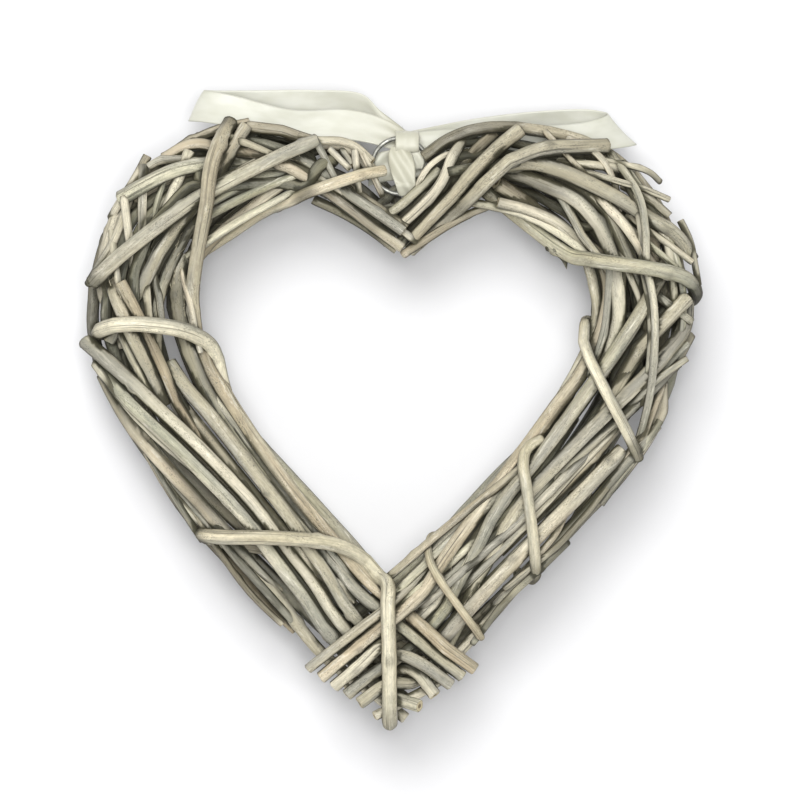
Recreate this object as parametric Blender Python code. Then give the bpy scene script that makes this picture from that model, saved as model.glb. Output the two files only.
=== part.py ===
# Heart-shaped wicker wreath with a hanging ring and a satin ribbon bow.
# Lengths are in metres. X runs to the right, Z up, and the front faces -Y.
# The origin is the centre of the hanging ring.
import math
from collections import namedtuple

import bmesh
import bpy
import numpy as np
from mathutils import Vector

# The heart's guide line: a lobe arc, a rounded shoulder, a straight side and a bent tip.
LOBE_RADIUS = 0.0668
LOBE_OFFSET = 0.0565
LOBE_HEIGHT = -0.0643
MIDLINE_X = -0.0042
SHOULDER_START_DEG = 12.0
SIDE_SLOPE_DEG = 43.5
TIP_HEIGHT = -0.2401
TIP_BEND_DEG = 12.0
TIP_BEND_LENGTH = 0.037

# The bundle's half width (across the band) and half depth, by station.
# Station 0 is where the halves cross at the tip and 1 where they cross at the notch.
BAND_STATIONS = (-0.20, 0.00, 0.12, 0.30, 0.45, 0.60, 0.72, 0.82, 0.90, 1.00, 1.12)
BAND_HALF_WIDTHS = (0.0220, 0.0245, 0.0245, 0.0255, 0.0265, 0.0255, 0.0235, 0.0205, 0.0170, 0.0145, 0.0140)
BAND_HALF_DEPTHS = (0.0115, 0.0135, 0.0185, 0.0215, 0.0225, 0.0225, 0.0215, 0.0200, 0.0175, 0.0150, 0.0130)

# The photograph that the front canes were read off: the metres of wreath in one pixel, the
# pixel at the ring's centre, and the guide line and half widths as they lie there, in pixels.
# A cane's place on this heart is carried over to the heart that is built.
Heart = namedtuple("Heart", "radius offset height middle shoulder slope tip bend bend_length widths")
PHOTO_STEP = 0.000491
PHOTO_RING = (400, 166)
PHOTO_HEART = Heart(radius=136, offset=115, height=-131, middle=-8.5, shoulder=12.0, slope=43.5,
                    tip=-489, bend=12.0, bend_length=75,
                    widths=(45, 50, 50, 52, 54, 52, 48, 42, 35, 30, 29))
READING_REACH = 0.16

# How the canes are pushed off each other: rounds, how far apart two can be and still be
# looked at, the spare gap that is aimed for and the shortfall that is let pass.
SETTLING_ROUNDS = 420
CLOSING_ROUNDS = 400
NEAR_ENOUGH = 0.013
SPARE_GAP = 0.00005
ALLOWED_SHORTFALL = 0.00004

# Canes.
THICK_RADIUS = 0.0038
MEDIUM_RADIUS = 0.0030
THIN_RADIUS = 0.0021
CANE_SIDES = 6
CANE_TAPER = 0.82
CANE_GAP = 0.00030
LAYER_PITCH = 0.0066
EDGE_SHARE = 0.97
ROUNDNESS = 2.5
FRONT_SPACING = 0.0165
HIDDEN_SPACING = 0.0240
WRAP_SPACING = 0.0105
BACK_CANES = 5
CORE_CANES = 1

# The long canes of one half cross those of the other at the tip in a stack of even pitch.
# Each goes under the other half at one station and ends proud of it at another.
TIP_FIRST_ACROSS = 0.60
TIP_PITCH_ACROSS = 0.31
TIP_UNDER = (0.06, 0.95)
TIP_OVER = (-0.03, 0.25)
TIP_END_STATION = -0.105
TIP_END_STEP = 0.0073

# Hanging ring of steel wire.
RING_RADIUS = 0.0137
RING_WIRE_RADIUS = 0.0010
RING_SEGMENTS = 40
RING_SIDES = 6

# Ribbon.
RIBBON_WIDTH = 0.0150
RIBBON_THICKNESS = 0.0009
RIBBON_CLEARANCE = 0.0011
WIRE_CLEARANCE = 0.0002

# The front canes as read by eye off the photograph: (pixel across, pixel down, layer). Layer 0
# lies on the front of the bundle, 1 is the layer behind it and a negative one stands proud.
# T, M and N are thick, medium and thin canes. The number after it is the cane's place in the
# crossed stack at the tip, counted from the inner edge, and None stops before the tip.
LEFT_FRONT = (
    ("T", 0, ((231, 124, 0.3), (215, 158, -0.5), (207, 205, -0.4), (195, 246, 0.0), (188, 282, 0.5),
              (189, 310, 0.8), (204, 356, 0.7), (228, 403, 0.5), (265, 458, 0.3), (303, 510, 0.4))),
    ("T", 1, ((186, 256, 1.0), (179, 290, 0.5), (184, 328, 0.7), (194, 374, 0.6), (221, 422, 0.9),
              (270, 488, 0.6), (299, 523, 0.6))),
    ("M", None, ((199, 209, 1.0), (176, 255, 0.8), (161, 300, 0.8), (157, 350, 1.5), (160, 375, 1.7))),
    ("T", 2, ((167, 365, 0.9), (185, 388, 0.0), (226, 432, -0.1), (268, 484, 0.0), (295, 518, 0.1))),
    ("T", None, ((201, 199, 0.6), (170, 231, 0.0), (141, 278, 0.1), (119, 316, 0.8), (110, 342, 1.2))),
    ("M", None, ((119, 286, 0.3), (143, 322, 0.2), (161, 365, 0.3), (179, 413, 0.4), (210, 458, 1.3))),
    ("T", 3, ((95, 332, 1.2), (106, 350, 0.8), (142, 392, 0.4), (199, 445, 0.1), (241, 486, 0.1),
              (268, 518, 0.1))),
    ("T", None, ((94, 282, 0.9), (119, 311, 0.7), (142, 350, 0.6), (160, 385, 0.9), (167, 404, 1.3))),
    ("T", 4, ((99, 362, 0.3), (131, 399, 0.0), (191, 455, 0.0), (229, 493, 0.0), (254, 522, 0.1))),
    ("T", 5, ((103, 373, 1.0), (123, 415, 0.2), (158, 459, 0.1), (199, 500, 0.0), (222, 526, 0.2),
              (244, 552, 0.5))),
    ("M", None, ((149, 451, 1.2), (178, 504, 0.7), (218, 552, 0.9), (248, 583, 0.9), (274, 609, 1.1),
                 (295, 631, 1.5))),
    ("M", None, ((191, 333, 1.6), (208, 376, 1.0), (233, 426, 0.8), (273, 480, 0.7), (317, 534, 0.9),
                 (358, 588, 1.2))),
    ("T", None, ((94, 284, 0.2), (110, 268, -0.1), (150, 234, -0.1), (198, 196, 0.5), (255, 168, 0.0),
                 (303, 147, 0.0), (317, 141, 0.2))),
    ("T", None, ((121, 199, 0.2), (154, 180, 0.0), (188, 166, 0.3), (228, 161, 1.0), (270, 158, 1.5))),
    ("M", None, ((164, 158, 1.1), (188, 142, 0.6), (224, 147, 1.1), (263, 152, 0.9), (302, 171, 0.3),
                 (340, 195, 0.6), (374, 226, 0.1), (402, 248, 0.4))),
    ("M", None, ((196, 135, 1.0), (232, 134, 1.3), (270, 142, 0.9), (305, 157, 0.6), (334, 181, 0.6),
                 (370, 211, 0.2), (403, 232, 0.1))),
    ("M", None, ((247, 128, 0.3), (230, 154, 0.2), (217, 188, 1.0), (211, 224, 1.4), (203, 243, 1.5))),
    ("M", None, ((248, 129, 1.0), (284, 130, 0.6), (320, 141, 0.8), (354, 147, 0.3), (366, 156, 0.4),
                 (373, 170, 0.9))),
    ("M", None, ((197, 254, 1.1), (223, 226, 0.5), (262, 198, 0.4), (300, 174, 1.1), (320, 166, 1.6))),
    ("M", None, ((112, 352, 1.7), (102, 325, 1.4), (96, 292, 0.9), (100, 255, 0.9), (114, 212, 1.0),
                 (141, 177, 0.9), (172, 151, 0.7), (209, 134, 0.8), (250, 126, 1.2))),
)
RIGHT_FRONT = (
    ("T", None, ((607, 148, 0.1), (562, 149, -0.4), (517, 157, -0.5), (488, 178, -0.5), (446, 216, -0.2),
                 (410, 251, 0.2))),
    ("T", None, ((519, 130, 0.4), (490, 155, 0.1), (464, 185, 0.3), (439, 212, 0.7), (412, 240, 0.8))),
    ("M", None, ((461, 131, 0.6), (450, 156, 0.2), (441, 184, 0.3), (420, 210, 0.3), (396, 230, 0.6))),
    ("M", None, ((496, 129, 1.0), (471, 155, 0.8), (449, 187, 1.0), (424, 213, 1.2), (410, 225, 1.3))),
    ("M", None, ((440, 171, 0.9), (417, 195, 0.5), (391, 216, 0.5), (378, 222, 0.9))),
    ("T", None, ((498, 172, 1.2), (512, 164, 0.5), (550, 167, 0.0), (590, 183, -0.1), (650, 219, 0.0),
                 (679, 240, 0.1), (687, 260, 0.9))),
    ("T", 2, ((486, 180, 1.2), (508, 174, 0.8), (552, 187, 0.4), (591, 210, 0.3), (610, 247, 0.5),
              (616, 283, 0.8), (616, 325, 0.5), (603, 363, 0.9), (578, 405, 0.7), (545, 449, 0.5),
              (490, 515, 0.2))),
    ("M", None, ((524, 170, 1.4), (568, 182, 0.7), (601, 207, 0.2), (622, 247, 0.2), (641, 291, 0.5),
                 (647, 336, 1.2), (640, 358, 1.5))),
    ("T", 1, ((497, 181, 0.7), (535, 213, 0.2), (573, 241, 0.4), (600, 272, 1.0), (607, 305, 0.6),
              (593, 360, 0.9), (563, 404, 0.7), (530, 446, 0.7), (474, 515, 0.3))),
    ("N", None, ((609, 153, 0.6), (629, 178, -0.4), (643, 212, -0.8), (646, 258, -0.2), (655, 325, -0.6),
                 (652, 375, -0.6), (644, 420, -0.3), (635, 452, 0.6))),
    ("T", 3, ((678, 243, 0.5), (657, 281, 0.8), (631, 325, 0.0), (602, 368, 0.2), (573, 410, 0.3),
              (541, 452, 0.3), (492, 512, 0.1))),
    ("T", None, ((687, 297, 0.5), (656, 327, 0.1), (627, 361, 0.5), (613, 398, 1.0), (590, 438, 1.5))),
    ("T", 4, ((687, 300, 1.4), (691, 314, 0.7), (676, 343, 0.1), (645, 379, 0.3), (610, 411, 0.4),
              (570, 445, 0.2), (508, 510, 0.1))),
    ("M", None, ((690, 334, 1.0), (687, 350, 0.6), (660, 381, 0.5), (628, 412, 0.6), (589, 443, 0.5),
                 (548, 480, 0.6), (506, 522, 1.3))),
    ("M", 5, ((662, 380, 1.3), (668, 398, 0.8), (653, 434, 0.8), (628, 471, 0.8), (590, 514, 0.9),
              (547, 557, 0.9), (524, 580, 0.9))),
    ("M", 0, ((499, 196, 1.0), (543, 210, 0.6), (578, 236, 0.6), (597, 282, 0.8), (593, 336, 0.7),
              (565, 395, 0.6), (520, 455, 0.6), (468, 516, 0.5), (445, 540, 0.4))),
    ("T", None, ((622, 450, 1.2), (580, 494, 0.3), (534, 538, 0.1), (490, 580, 0.1), (446, 621, 0.4),
                 (430, 637, 1.0))),
    ("M", None, ((423, 157, 0.6), (456, 136, 0.6), (494, 127, 0.5), (534, 128, 0.7), (573, 135, 0.9),
                 (611, 152, 0.9), (643, 179, 1.0), (666, 213, 1.2), (681, 252, 1.4), (687, 294, 1.6),
                 (684, 330, 1.4))),
    ("M", None, ((602, 194, 1.6), (632, 208, 1.4), (666, 270, 1.2), (664, 345, 1.3), (620, 428, 1.2),
                 (545, 508, 1.2), (500, 552, 1.3))),
)
# The binding canes as (kind, side, points). A point marked back or tuck is one behind that
# pixel: back lies on the back of the bundle, tuck is pushed in among its canes.
WRAPS = (
    ("T", "left", (("tuck", 264, 548), ("back", 214, 541), (197, 535, 0.0), (222, 536, -0.9),
                   (304, 537, -1.0), (340, 542, -0.9), (366, 558, -0.5), (383, 577, -0.4))),
    ("T", "left", (("tuck", 152, 350), ("back", 112, 338), (100, 333, 0.0), (116, 327, -1.0),
                   (142, 325, -1.0), (170, 328, -1.0), (187, 333, -0.8), (198, 345, 0.2),
                   (208, 362, 0.9), (225, 401, 1.7))),
    ("M", "left", ((201, 250, 1.3), (224, 236, 0.6), (269, 207, 0.2), (305, 195, -0.7), (340, 183, -0.8),
                   (371, 173, -0.5), (384, 171, -0.3))),
    ("N", "right", (("back", 452, 542), (436, 536, 0.2), (429, 548, -0.6), (433, 568, -0.9), (458, 605, -0.9),
                    (471, 622, -0.9), (482, 638, 0.1), ("tuck", 472, 624))),
    ("M", "right", ((542, 441, 1.2), (530, 445, 0.3), (522, 456, -0.4), (523, 473, -0.9), (530, 520, -1.0),
                    (533, 545, -1.0), (534, 564, -0.7), (531, 580, 0.2), ("tuck", 516, 572))),
    ("M", "right", (("tuck", 614, 332), ("back", 604, 326), (591, 328, 0.3), (586, 342, -0.4),
                    (599, 380, -1.0), (620, 422, -1.0), (630, 441, -0.7), (637, 457, 0.2))),
    ("T", "right", ((484, 190, 0.9), (521, 217, 0.4), (561, 247, 0.1), (580, 257, -0.5), (602, 262, -1.0),
                    (648, 270, -1.1), (670, 275, -1.1), (685, 281, -0.9), (691, 291, 0.1), ("back", 680, 305),
                    ("tuck", 660, 318))),
)
# The binding cane that runs down the middle of the tip, under it and up its back, as
# heights over the crossing of the halves. The ones on the front have a layer too.
TIP_BINDING = ((0.038, -0.8), (0.029, -1.6), (0.012, -1.7), (-0.010, -1.6), (-0.026, -1.2), (-0.034, 0.6))
TIP_BINDING_BACK = (-0.030, -0.012, 0.008)
TIP_BINDING_ASIDE = 0.0010

RADII = {"T": THICK_RADIUS, "M": MEDIUM_RADIUS, "N": THIN_RADIUS}

# The ribbon's pieces as (x, y, z) paths from the ring's centre. The loops and the strip
# stand on edge behind the ring, the knot goes around the ring's top wire, and the tail
# hangs down inside the ring.
LEFT_LOOP = ((0.0040, 0.0048, 0.0105), (-0.0080, 0.0038, 0.0165), (-0.0260, 0.0030, 0.0205),
             (-0.0520, 0.0026, 0.0205), (-0.0780, 0.0034, 0.0262), (-0.0930, 0.0060, 0.0292),
             (-0.1005, 0.0105, 0.0302), (-0.0930, 0.0150, 0.0304), (-0.0720, 0.0172, 0.0306),
             (-0.0440, 0.0168, 0.0306), (-0.0200, 0.0140, 0.0292), (-0.0090, 0.0095, 0.0200))
RIGHT_LOOP = ((-0.0035, 0.0062, 0.0092), (0.0120, 0.0040, 0.0104), (0.0340, 0.0034, 0.0118),
              (0.0620, 0.0036, 0.0134), (0.0900, 0.0044, 0.0146), (0.1090, 0.0066, 0.0156),
              (0.1185, 0.0112, 0.0170), (0.1110, 0.0158, 0.0192), (0.0900, 0.0180, 0.0212),
              (0.0640, 0.0176, 0.0200), (0.0380, 0.0150, 0.0166), (0.0140, 0.0100, 0.0122))
CROSS_STRIP = ((-0.0155, 0.0036, -0.0002), (-0.0050, 0.0030, 0.0000), (0.0050, 0.0030, 0.0000),
               (0.0125, 0.0036, 0.0002))
KNOT_WIDTH = 0.0115
KNOT_X = 0.0036
KNOT = ((0.0034, 0.0080), (0.0034, 0.0138), (0.0016, 0.0164), (-0.0016, 0.0164),
        (-0.0034, 0.0138), (-0.0034, 0.0080), (-0.0016, 0.0052), (0.0016, 0.0048))
TAIL_WIDTH = 0.0125
TAIL_X = 0.0028
TAIL = ((-0.0030, 0.0070), (-0.0036, 0.0000), (-0.0036, -0.0075), (-0.0026, -0.0145))


def clear_scene():
    for obj in list(bpy.data.objects):
        bpy.data.objects.remove(obj, do_unlink=True)


def unit(vector):
    return vector / np.linalg.norm(vector)


def built_heart():
    return Heart(LOBE_RADIUS, LOBE_OFFSET, LOBE_HEIGHT, MIDLINE_X, SHOULDER_START_DEG, SIDE_SLOPE_DEG,
                 TIP_HEIGHT, TIP_BEND_DEG, TIP_BEND_LENGTH, BAND_HALF_WIDTHS)


def photographed_heart():
    """The photograph's heart in metres. Its angles are the same in any unit."""
    lengths = {name: getattr(PHOTO_HEART, name) * PHOTO_STEP
               for name in ("radius", "offset", "height", "middle", "tip", "bend_length")}
    widths = tuple(width * PHOTO_STEP for width in PHOTO_HEART.widths)
    return PHOTO_HEART._replace(widths=widths, **lengths)


def guide_line(heart):
    """A half guide line as (offset from the midline, height), its stations and its length."""
    centre = np.array([heart.offset, heart.height])
    notch = math.degrees(math.acos(-heart.offset / heart.radius))
    turns = np.radians(np.linspace(notch + 60.0, -heart.shoulder, 260))
    lobe = centre + heart.radius * np.stack([np.cos(turns), np.sin(turns)], 1)
    slope = math.radians(heart.slope)
    first = math.radians(heart.shoulder)
    out_side = np.array([math.cos(slope), -math.sin(slope)])
    out_lobe = np.array([math.cos(first), -math.sin(first)])
    side_distance = -out_side[1] * -heart.tip
    start = lobe[-1]
    radius = (side_distance - out_side @ start) / (1.0 - out_side @ out_lobe)
    bends = np.linspace(first, slope, 80)[1:]
    shoulder = start - radius * out_lobe + radius * np.stack([np.cos(bends), -np.sin(bends)], 1)
    down = np.array([out_side[1], -out_side[0]])
    corner = shoulder[-1]
    run = corner[0] / -down[0] - heart.bend_length
    straight = corner + np.outer(np.linspace(0.0, run, 80)[1:], down)
    tip = bent_tip(straight[-1], heart)
    points = np.concatenate([lobe, shoulder, straight, tip])[::-1]
    steps = np.linalg.norm(np.diff(points, axis=0), axis=1)
    along = np.concatenate([[0.0], np.cumsum(steps)])
    tip_index = int(np.argmax(points[:, 0] >= 0.0))
    upper = points[:, 1] > heart.height
    notch_index = int(np.argmin(np.abs(points[:, 0]) + np.where(upper, 0.0, 10.0)))
    length = along[notch_index] - along[tip_index]
    return points, (along - along[tip_index]) / length, length


def bent_tip(start, heart):
    """The last stretch, which flattens as it crosses the midline at the tip."""
    step = heart.bend_length / 46
    point = np.array(start, dtype=float)
    found = []
    for number in range(1, 200):
        share = min(1.0, number * step / heart.bend_length)
        turn = math.radians(90.0 - heart.slope - heart.bend * share)
        point = point + step * np.array([-math.cos(turn), -math.sin(turn)])
        found.append(point.copy())
    return np.array(found)


HEART = built_heart()
PHOTOGRAPHED = photographed_heart()
GUIDES = {HEART: guide_line(HEART), PHOTOGRAPHED: guide_line(PHOTOGRAPHED)}


def band_frame(heart, stations):
    """The guide line's points, its directions along and inward, and the half widths there."""
    points, along, _ = GUIDES[heart]

    def guide_at(where):
        return np.stack([np.interp(where, along, points[:, 0]), np.interp(where, along, points[:, 1])], -1)

    ahead = guide_at(stations + 0.002) - guide_at(stations - 0.002)
    ahead = ahead / np.linalg.norm(ahead, axis=-1, keepdims=True)
    inward = np.stack([-ahead[..., 1], ahead[..., 0]], -1)
    return guide_at(stations), ahead, inward, np.interp(stations, BAND_STATIONS, heart.widths)


def place(side, stations, across, depth):
    """World points from station, position across the band and depth behind the middle."""
    stations = np.asarray(stations, dtype=float)
    middle, _, inward, width = band_frame(HEART, stations)
    spot = middle + inward * (np.asarray(across) * width)[..., None]
    sign = -1.0 if side == "left" else 1.0
    x = HEART.middle + sign * spot[..., 0]
    return np.stack([x, np.asarray(depth), spot[..., 1]], -1)


def read_point(side, across_pixel, down_pixel, near):
    """Station and position across the band of one pixel, near a station or anywhere."""
    sign = -1.0 if side == "left" else 1.0
    x = (across_pixel - PHOTO_RING[0]) * PHOTO_STEP - PHOTOGRAPHED.middle
    spot = np.array([sign * x, (PHOTO_RING[1] - down_pixel) * PHOTO_STEP])
    low, high = (-0.10, 1.05) if near is None else (near - READING_REACH, near + READING_REACH)
    stations = np.linspace(low, high, 1201)
    middle, ahead, inward, width = band_frame(PHOTOGRAPHED, stations)
    away = spot - middle
    if near is None:
        return read_point(side, across_pixel, down_pixel, stations[np.argmin(np.linalg.norm(away, axis=1))])
    best = int(np.argmin(np.abs((away * ahead).sum(1))))
    return float(stations[best]), float(away[best] @ inward[best] / width[best])


def read_course(side, plan):
    """A cane's points in band coordinates, read one after the other."""
    course = []
    near = None
    for across_pixel, down_pixel, layer in plan:
        near, across = read_point(side, across_pixel, down_pixel, near)
        course.append((near, across, layer))
    return course


def tip_course(order):
    """The last points of a long cane: under the other half, over it and the cut end."""
    across = TIP_FIRST_ACROSS - TIP_PITCH_ACROSS * order
    end = TIP_END_STATION + TIP_END_STEP * order
    return [(TIP_UNDER[0], across, TIP_UNDER[1]), (TIP_OVER[0], across, TIP_OVER[1]), (end, across, 0.1)]


def surface_depth(station, across, layer):
    """Depth of a cane's middle: layer 0 lies on the front of the rounded bundle."""
    half = np.interp(station, BAND_STATIONS, BAND_HALF_DEPTHS) - THICK_RADIUS
    share = min(1.0, abs(across) / EDGE_SHARE)
    rounded = (1.0 - share ** ROUNDNESS) ** (1.0 / ROUNDNESS)
    return -half * rounded + layer * LAYER_PITCH


def smooth(points, count):
    """Points of a centripetal-like cubic through the control points."""
    points = np.asarray(points, dtype=float)
    steps = np.linalg.norm(np.diff(points, axis=0), axis=1) ** 0.7
    knots = np.concatenate([[0.0], np.cumsum(np.maximum(steps, 1e-6))])
    slopes = np.gradient(points, knots, axis=0)
    where = np.linspace(0.0, knots[-1], count)
    index = np.clip(np.searchsorted(knots, where, side="right") - 1, 0, len(knots) - 2)
    span = (knots[index + 1] - knots[index])[:, None]
    t = ((where - knots[index])[:, None]) / span
    a = points[index]
    b = points[index + 1]
    ma = slopes[index] * span
    mb = slopes[index + 1] * span
    return (2 * t ** 3 - 3 * t ** 2 + 1) * a + (t ** 3 - 2 * t ** 2 + t) * ma \
        + (-2 * t ** 3 + 3 * t ** 2) * b + (t ** 3 - t ** 2) * mb


def resample(points, spacing):
    steps = np.linalg.norm(np.diff(points, axis=0), axis=1)
    along = np.concatenate([[0.0], np.cumsum(steps)])
    count = max(4, int(round(along[-1] / spacing)) + 1)
    where = np.linspace(0.0, along[-1], count)
    return np.stack([np.interp(where, along, points[:, k]) for k in range(3)], 1)


def banded_cane(side, rows, spacing):
    """A cane along the band, from its rows of station, position across and depth."""
    scale = np.array([GUIDES[HEART][2], max(HEART.widths), 1.0])
    path = smooth(np.array(rows) * scale, 240) / scale
    return resample(place(side, path[:, 0], path[:, 1], path[:, 2]), spacing)


def front_cane(side, order, plan):
    course = read_course(side, plan)
    if order is not None:
        course += tip_course(order)
    return banded_cane(side, [(u, v, surface_depth(u, v, layer)) for u, v, layer in course], FRONT_SPACING)


def wrap_points(side, plan):
    """World points of a binding cane. The ones behind lie the other way in depth."""
    points = []
    near = None
    for row in plan:
        behind = row[0] in ("back", "tuck")
        across_pixel, down_pixel = row[1:] if behind else row[:2]
        near, across = read_point(side, across_pixel, down_pixel, near)
        layer = {"back": -0.9, "tuck": 1.0}[row[0]] if behind else row[2]
        depth = surface_depth(near, across, layer)
        points.append(place(side, near, across, -depth if behind else depth))
    return points


def binding_cane(side, plan, extra=()):
    points = wrap_points(side, plan) + list(extra)
    return resample(smooth(np.array(points), 200), WRAP_SPACING)


def tip_binding():
    """The rest of the first binding cane: down the front of the tip and under it."""
    front = np.interp(0.0, BAND_STATIONS, BAND_HALF_DEPTHS) - THICK_RADIUS
    x = MIDLINE_X - TIP_BINDING_ASIDE
    points = []
    for height, layer in TIP_BINDING:
        points.append(np.array([x, -front + (layer + 0.4) * LAYER_PITCH, TIP_HEIGHT + height]))
    for height in TIP_BINDING_BACK:
        points.append(np.array([x, front + 1.1 * LAYER_PITCH, TIP_HEIGHT + height]))
    return points


def back_plan(index, count, upper_end, phase):
    """A hidden cane on the back of the band: plainer, with a slow sideways wander."""
    base = -0.84 + 1.68 * index / (count - 1)
    rows = []
    lower_end = -0.060 - 0.010 * (index % 3) if index % 2 == 0 else 0.030
    for station in np.linspace(lower_end, upper_end, 11):
        wander = 0.16 * math.sin(8.0 * station + phase)
        across = max(-0.88, min(0.88, base + wander))
        at_tip = max(0.0, 1.0 - abs(station - 0.05) / 0.06)
        layer = 0.15 + 0.35 * (index % 2) + 0.8 * at_tip
        rows.append((station, across, layer))
    return rows


def back_cane(side, index, phase):
    reaches_notch = index % 3 != 1
    plan = back_plan(index, BACK_CANES, 1.02 if reaches_notch else 0.86, phase)
    return banded_cane(side, [(u, v, -surface_depth(u, v, layer)) for u, v, layer in plan], HIDDEN_SPACING)


def core_cane(side, index, phase):
    rows = []
    for station in np.linspace(0.03, 0.90, 9):
        across = 0.25 * math.sin(9.0 * station + phase) - 0.1 + 0.3 * index
        depth = 0.004 * math.sin(7.0 * station + 2.0 * phase)
        rows.append((station, across, depth))
    return banded_cane(side, rows, HIDDEN_SPACING)


def all_canes():
    """Every cane as (name, start radius, end radius, points)."""
    canes = []
    for side, plans in (("left", LEFT_FRONT), ("right", RIGHT_FRONT)):
        for number, (kind, order, plan) in enumerate(plans):
            radius = RADII[kind]
            points = front_cane(side, order, plan)
            canes.append((f"front_cane_{side}_{number + 1:02d}", radius, radius * CANE_TAPER, points))
        for index in range(BACK_CANES):
            points = back_cane(side, index, 1.3 * index + (0.4 if side == "left" else 2.1))
            canes.append((f"back_cane_{side}_{index + 1:02d}", THICK_RADIUS, MEDIUM_RADIUS * 0.9, points))
        for index in range(CORE_CANES):
            points = core_cane(side, index, 2.0 * index + (0.3 if side == "left" else 1.7))
            radius = MEDIUM_RADIUS
            canes.append((f"core_cane_{side}_{index + 1:02d}", radius, radius * CANE_TAPER, points))
    for number, (kind, side, plan) in enumerate(WRAPS):
        extra = tip_binding() if number == 0 else ()
        radius = RADII[kind]
        points = binding_cane(side, plan, extra)
        canes.append((f"binding_cane_{number + 1:02d}", radius, radius * 0.95, points))
    return canes


def knot_path():
    return np.array([(KNOT_X, y, z) for y, z in KNOT])


def tail_path():
    return np.array([(TAIL_X, y, z) for y, z in TAIL])


def strip_lines(points, across, width):
    """Lines along a strip, as (points, radius), that canes are kept clear of."""
    offsets = np.linspace(-0.5, 0.5, 5) * (width - RIBBON_THICKNESS)
    return [(points + np.asarray(across) * offset, RIBBON_CLEARANCE) for offset in offsets]


def fixed_lines():
    """What the canes are pushed off: the ring's wire and the ribbon."""
    turns = np.linspace(0.0, 2.0 * math.pi, 33)
    ring = np.stack([RING_RADIUS * np.cos(turns), 0.0 * turns, RING_RADIUS * np.sin(turns)], 1)
    lines = [(ring, RING_WIRE_RADIUS + WIRE_CLEARANCE)]
    upright = (0.0, 0.0, 1.0)
    sideways = (1.0, 0.0, 0.0)
    for loop in (LEFT_LOOP, RIGHT_LOOP):
        points = np.array(loop)
        lines += strip_lines(np.concatenate([points, points[:1]]), upright, RIBBON_WIDTH)
    lines += strip_lines(np.array(CROSS_STRIP), upright, RIBBON_WIDTH)
    lines += strip_lines(tail_path(), sideways, TAIL_WIDTH)
    lines += strip_lines(knot_path(), sideways, KNOT_WIDTH)
    return lines


def segment_arrays(lines):
    """Joins polylines into point, segment, radius and owner arrays."""
    points = []
    starts = []
    owners = []
    radii = []
    base = 0
    for owner, (line, first, last) in enumerate(lines):
        count = len(line)
        points.append(line)
        radii.append(np.linspace(first, last, count))
        starts.append(np.arange(count - 1) + base)
        owners.append(np.full(count - 1, owner))
        base += count
    return np.concatenate(points), np.concatenate(starts), np.concatenate(radii), np.concatenate(owners)


def closest(p1, q1, p2, q2):
    """Closest parameters of segment pairs, and the vector from the first to the second."""
    d1 = q1 - p1
    d2 = q2 - p2
    r = p1 - p2
    a = np.maximum((d1 * d1).sum(1), 1e-14)
    e = np.maximum((d2 * d2).sum(1), 1e-14)
    f = (d2 * r).sum(1)
    c = (d1 * r).sum(1)
    b = (d1 * d2).sum(1)
    bottom = np.maximum(a * e - b * b, 1e-16)
    s = np.clip((b * f - c * e) / bottom, 0.0, 1.0)
    t = np.clip((b * s + f) / e, 0.0, 1.0)
    s = np.clip((b * t - c) / a, 0.0, 1.0)
    t = np.clip((b * s + f) / e, 0.0, 1.0)
    between = (p2 + d2 * t[:, None]) - (p1 + d1 * s[:, None])
    return s, t, between


def wanted_distance(radii, i, j, s, t):
    """How far apart the middles must be: both radii there and the gap."""
    return radii[i] * (1 - s) + radii[i + 1] * s + radii[j] * (1 - t) + radii[j + 1] * t + CANE_GAP


def near_pairs(points, starts, owners, movable, reach):
    """Pairs of segments of different canes that are close enough to matter."""
    middle = (points[starts] + points[starts + 1]) / 2
    half = np.linalg.norm(points[starts + 1] - points[starts], axis=1) / 2
    pairs = []
    for index in range(len(starts)):
        later = slice(index + 1, len(starts))
        gap = np.linalg.norm(middle[later] - middle[index], axis=1) - half[later] - half[index]
        other = owners[later] != owners[index]
        loose = movable[later] | movable[index]
        hits = np.nonzero((gap < reach) & other & loose)[0] + index + 1
        pairs.append(np.stack([np.full(len(hits), index), hits], 1))
    return np.concatenate(pairs)


def push_apart(points, starts, radii, pairs, free, strength):
    """One pass that moves overlapping segments off each other. Returns the worst overlap."""
    i = starts[pairs[:, 0]]
    j = starts[pairs[:, 1]]
    s, t, between = closest(points[i], points[i + 1], points[j], points[j + 1])
    distance = np.maximum(np.linalg.norm(between, axis=1), 1e-9)
    wanted = wanted_distance(radii, i, j, s, t) + SPARE_GAP
    lack = wanted - distance
    hit = lack > 0.0
    if not hit.any():
        return 0.0
    i, j, s, t = i[hit], j[hit], s[hit], t[hit]
    move = between[hit] / distance[hit][:, None] * (lack[hit] * strength)[:, None]
    share_i = free[i] / np.maximum(free[i] + free[j], 1e-9)
    share_j = free[j] / np.maximum(free[i] + free[j], 1e-9)
    total = np.zeros_like(points)
    weight = np.full(len(points), 1e-9)
    for spot, part, sign, share in ((i, 1 - s, -1.0, share_i), (i + 1, s, -1.0, share_i),
                                    (j, 1 - t, 1.0, share_j), (j + 1, t, 1.0, share_j)):
        other = 1.0 - part
        push = part / (part * part + other * other)
        np.add.at(total, spot, move * (sign * share * push)[:, None])
        np.add.at(weight, spot, part)
    points += total / np.maximum(weight, 1.0)[:, None] * (free > 0.0)[:, None]
    return float(lack.max())


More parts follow.
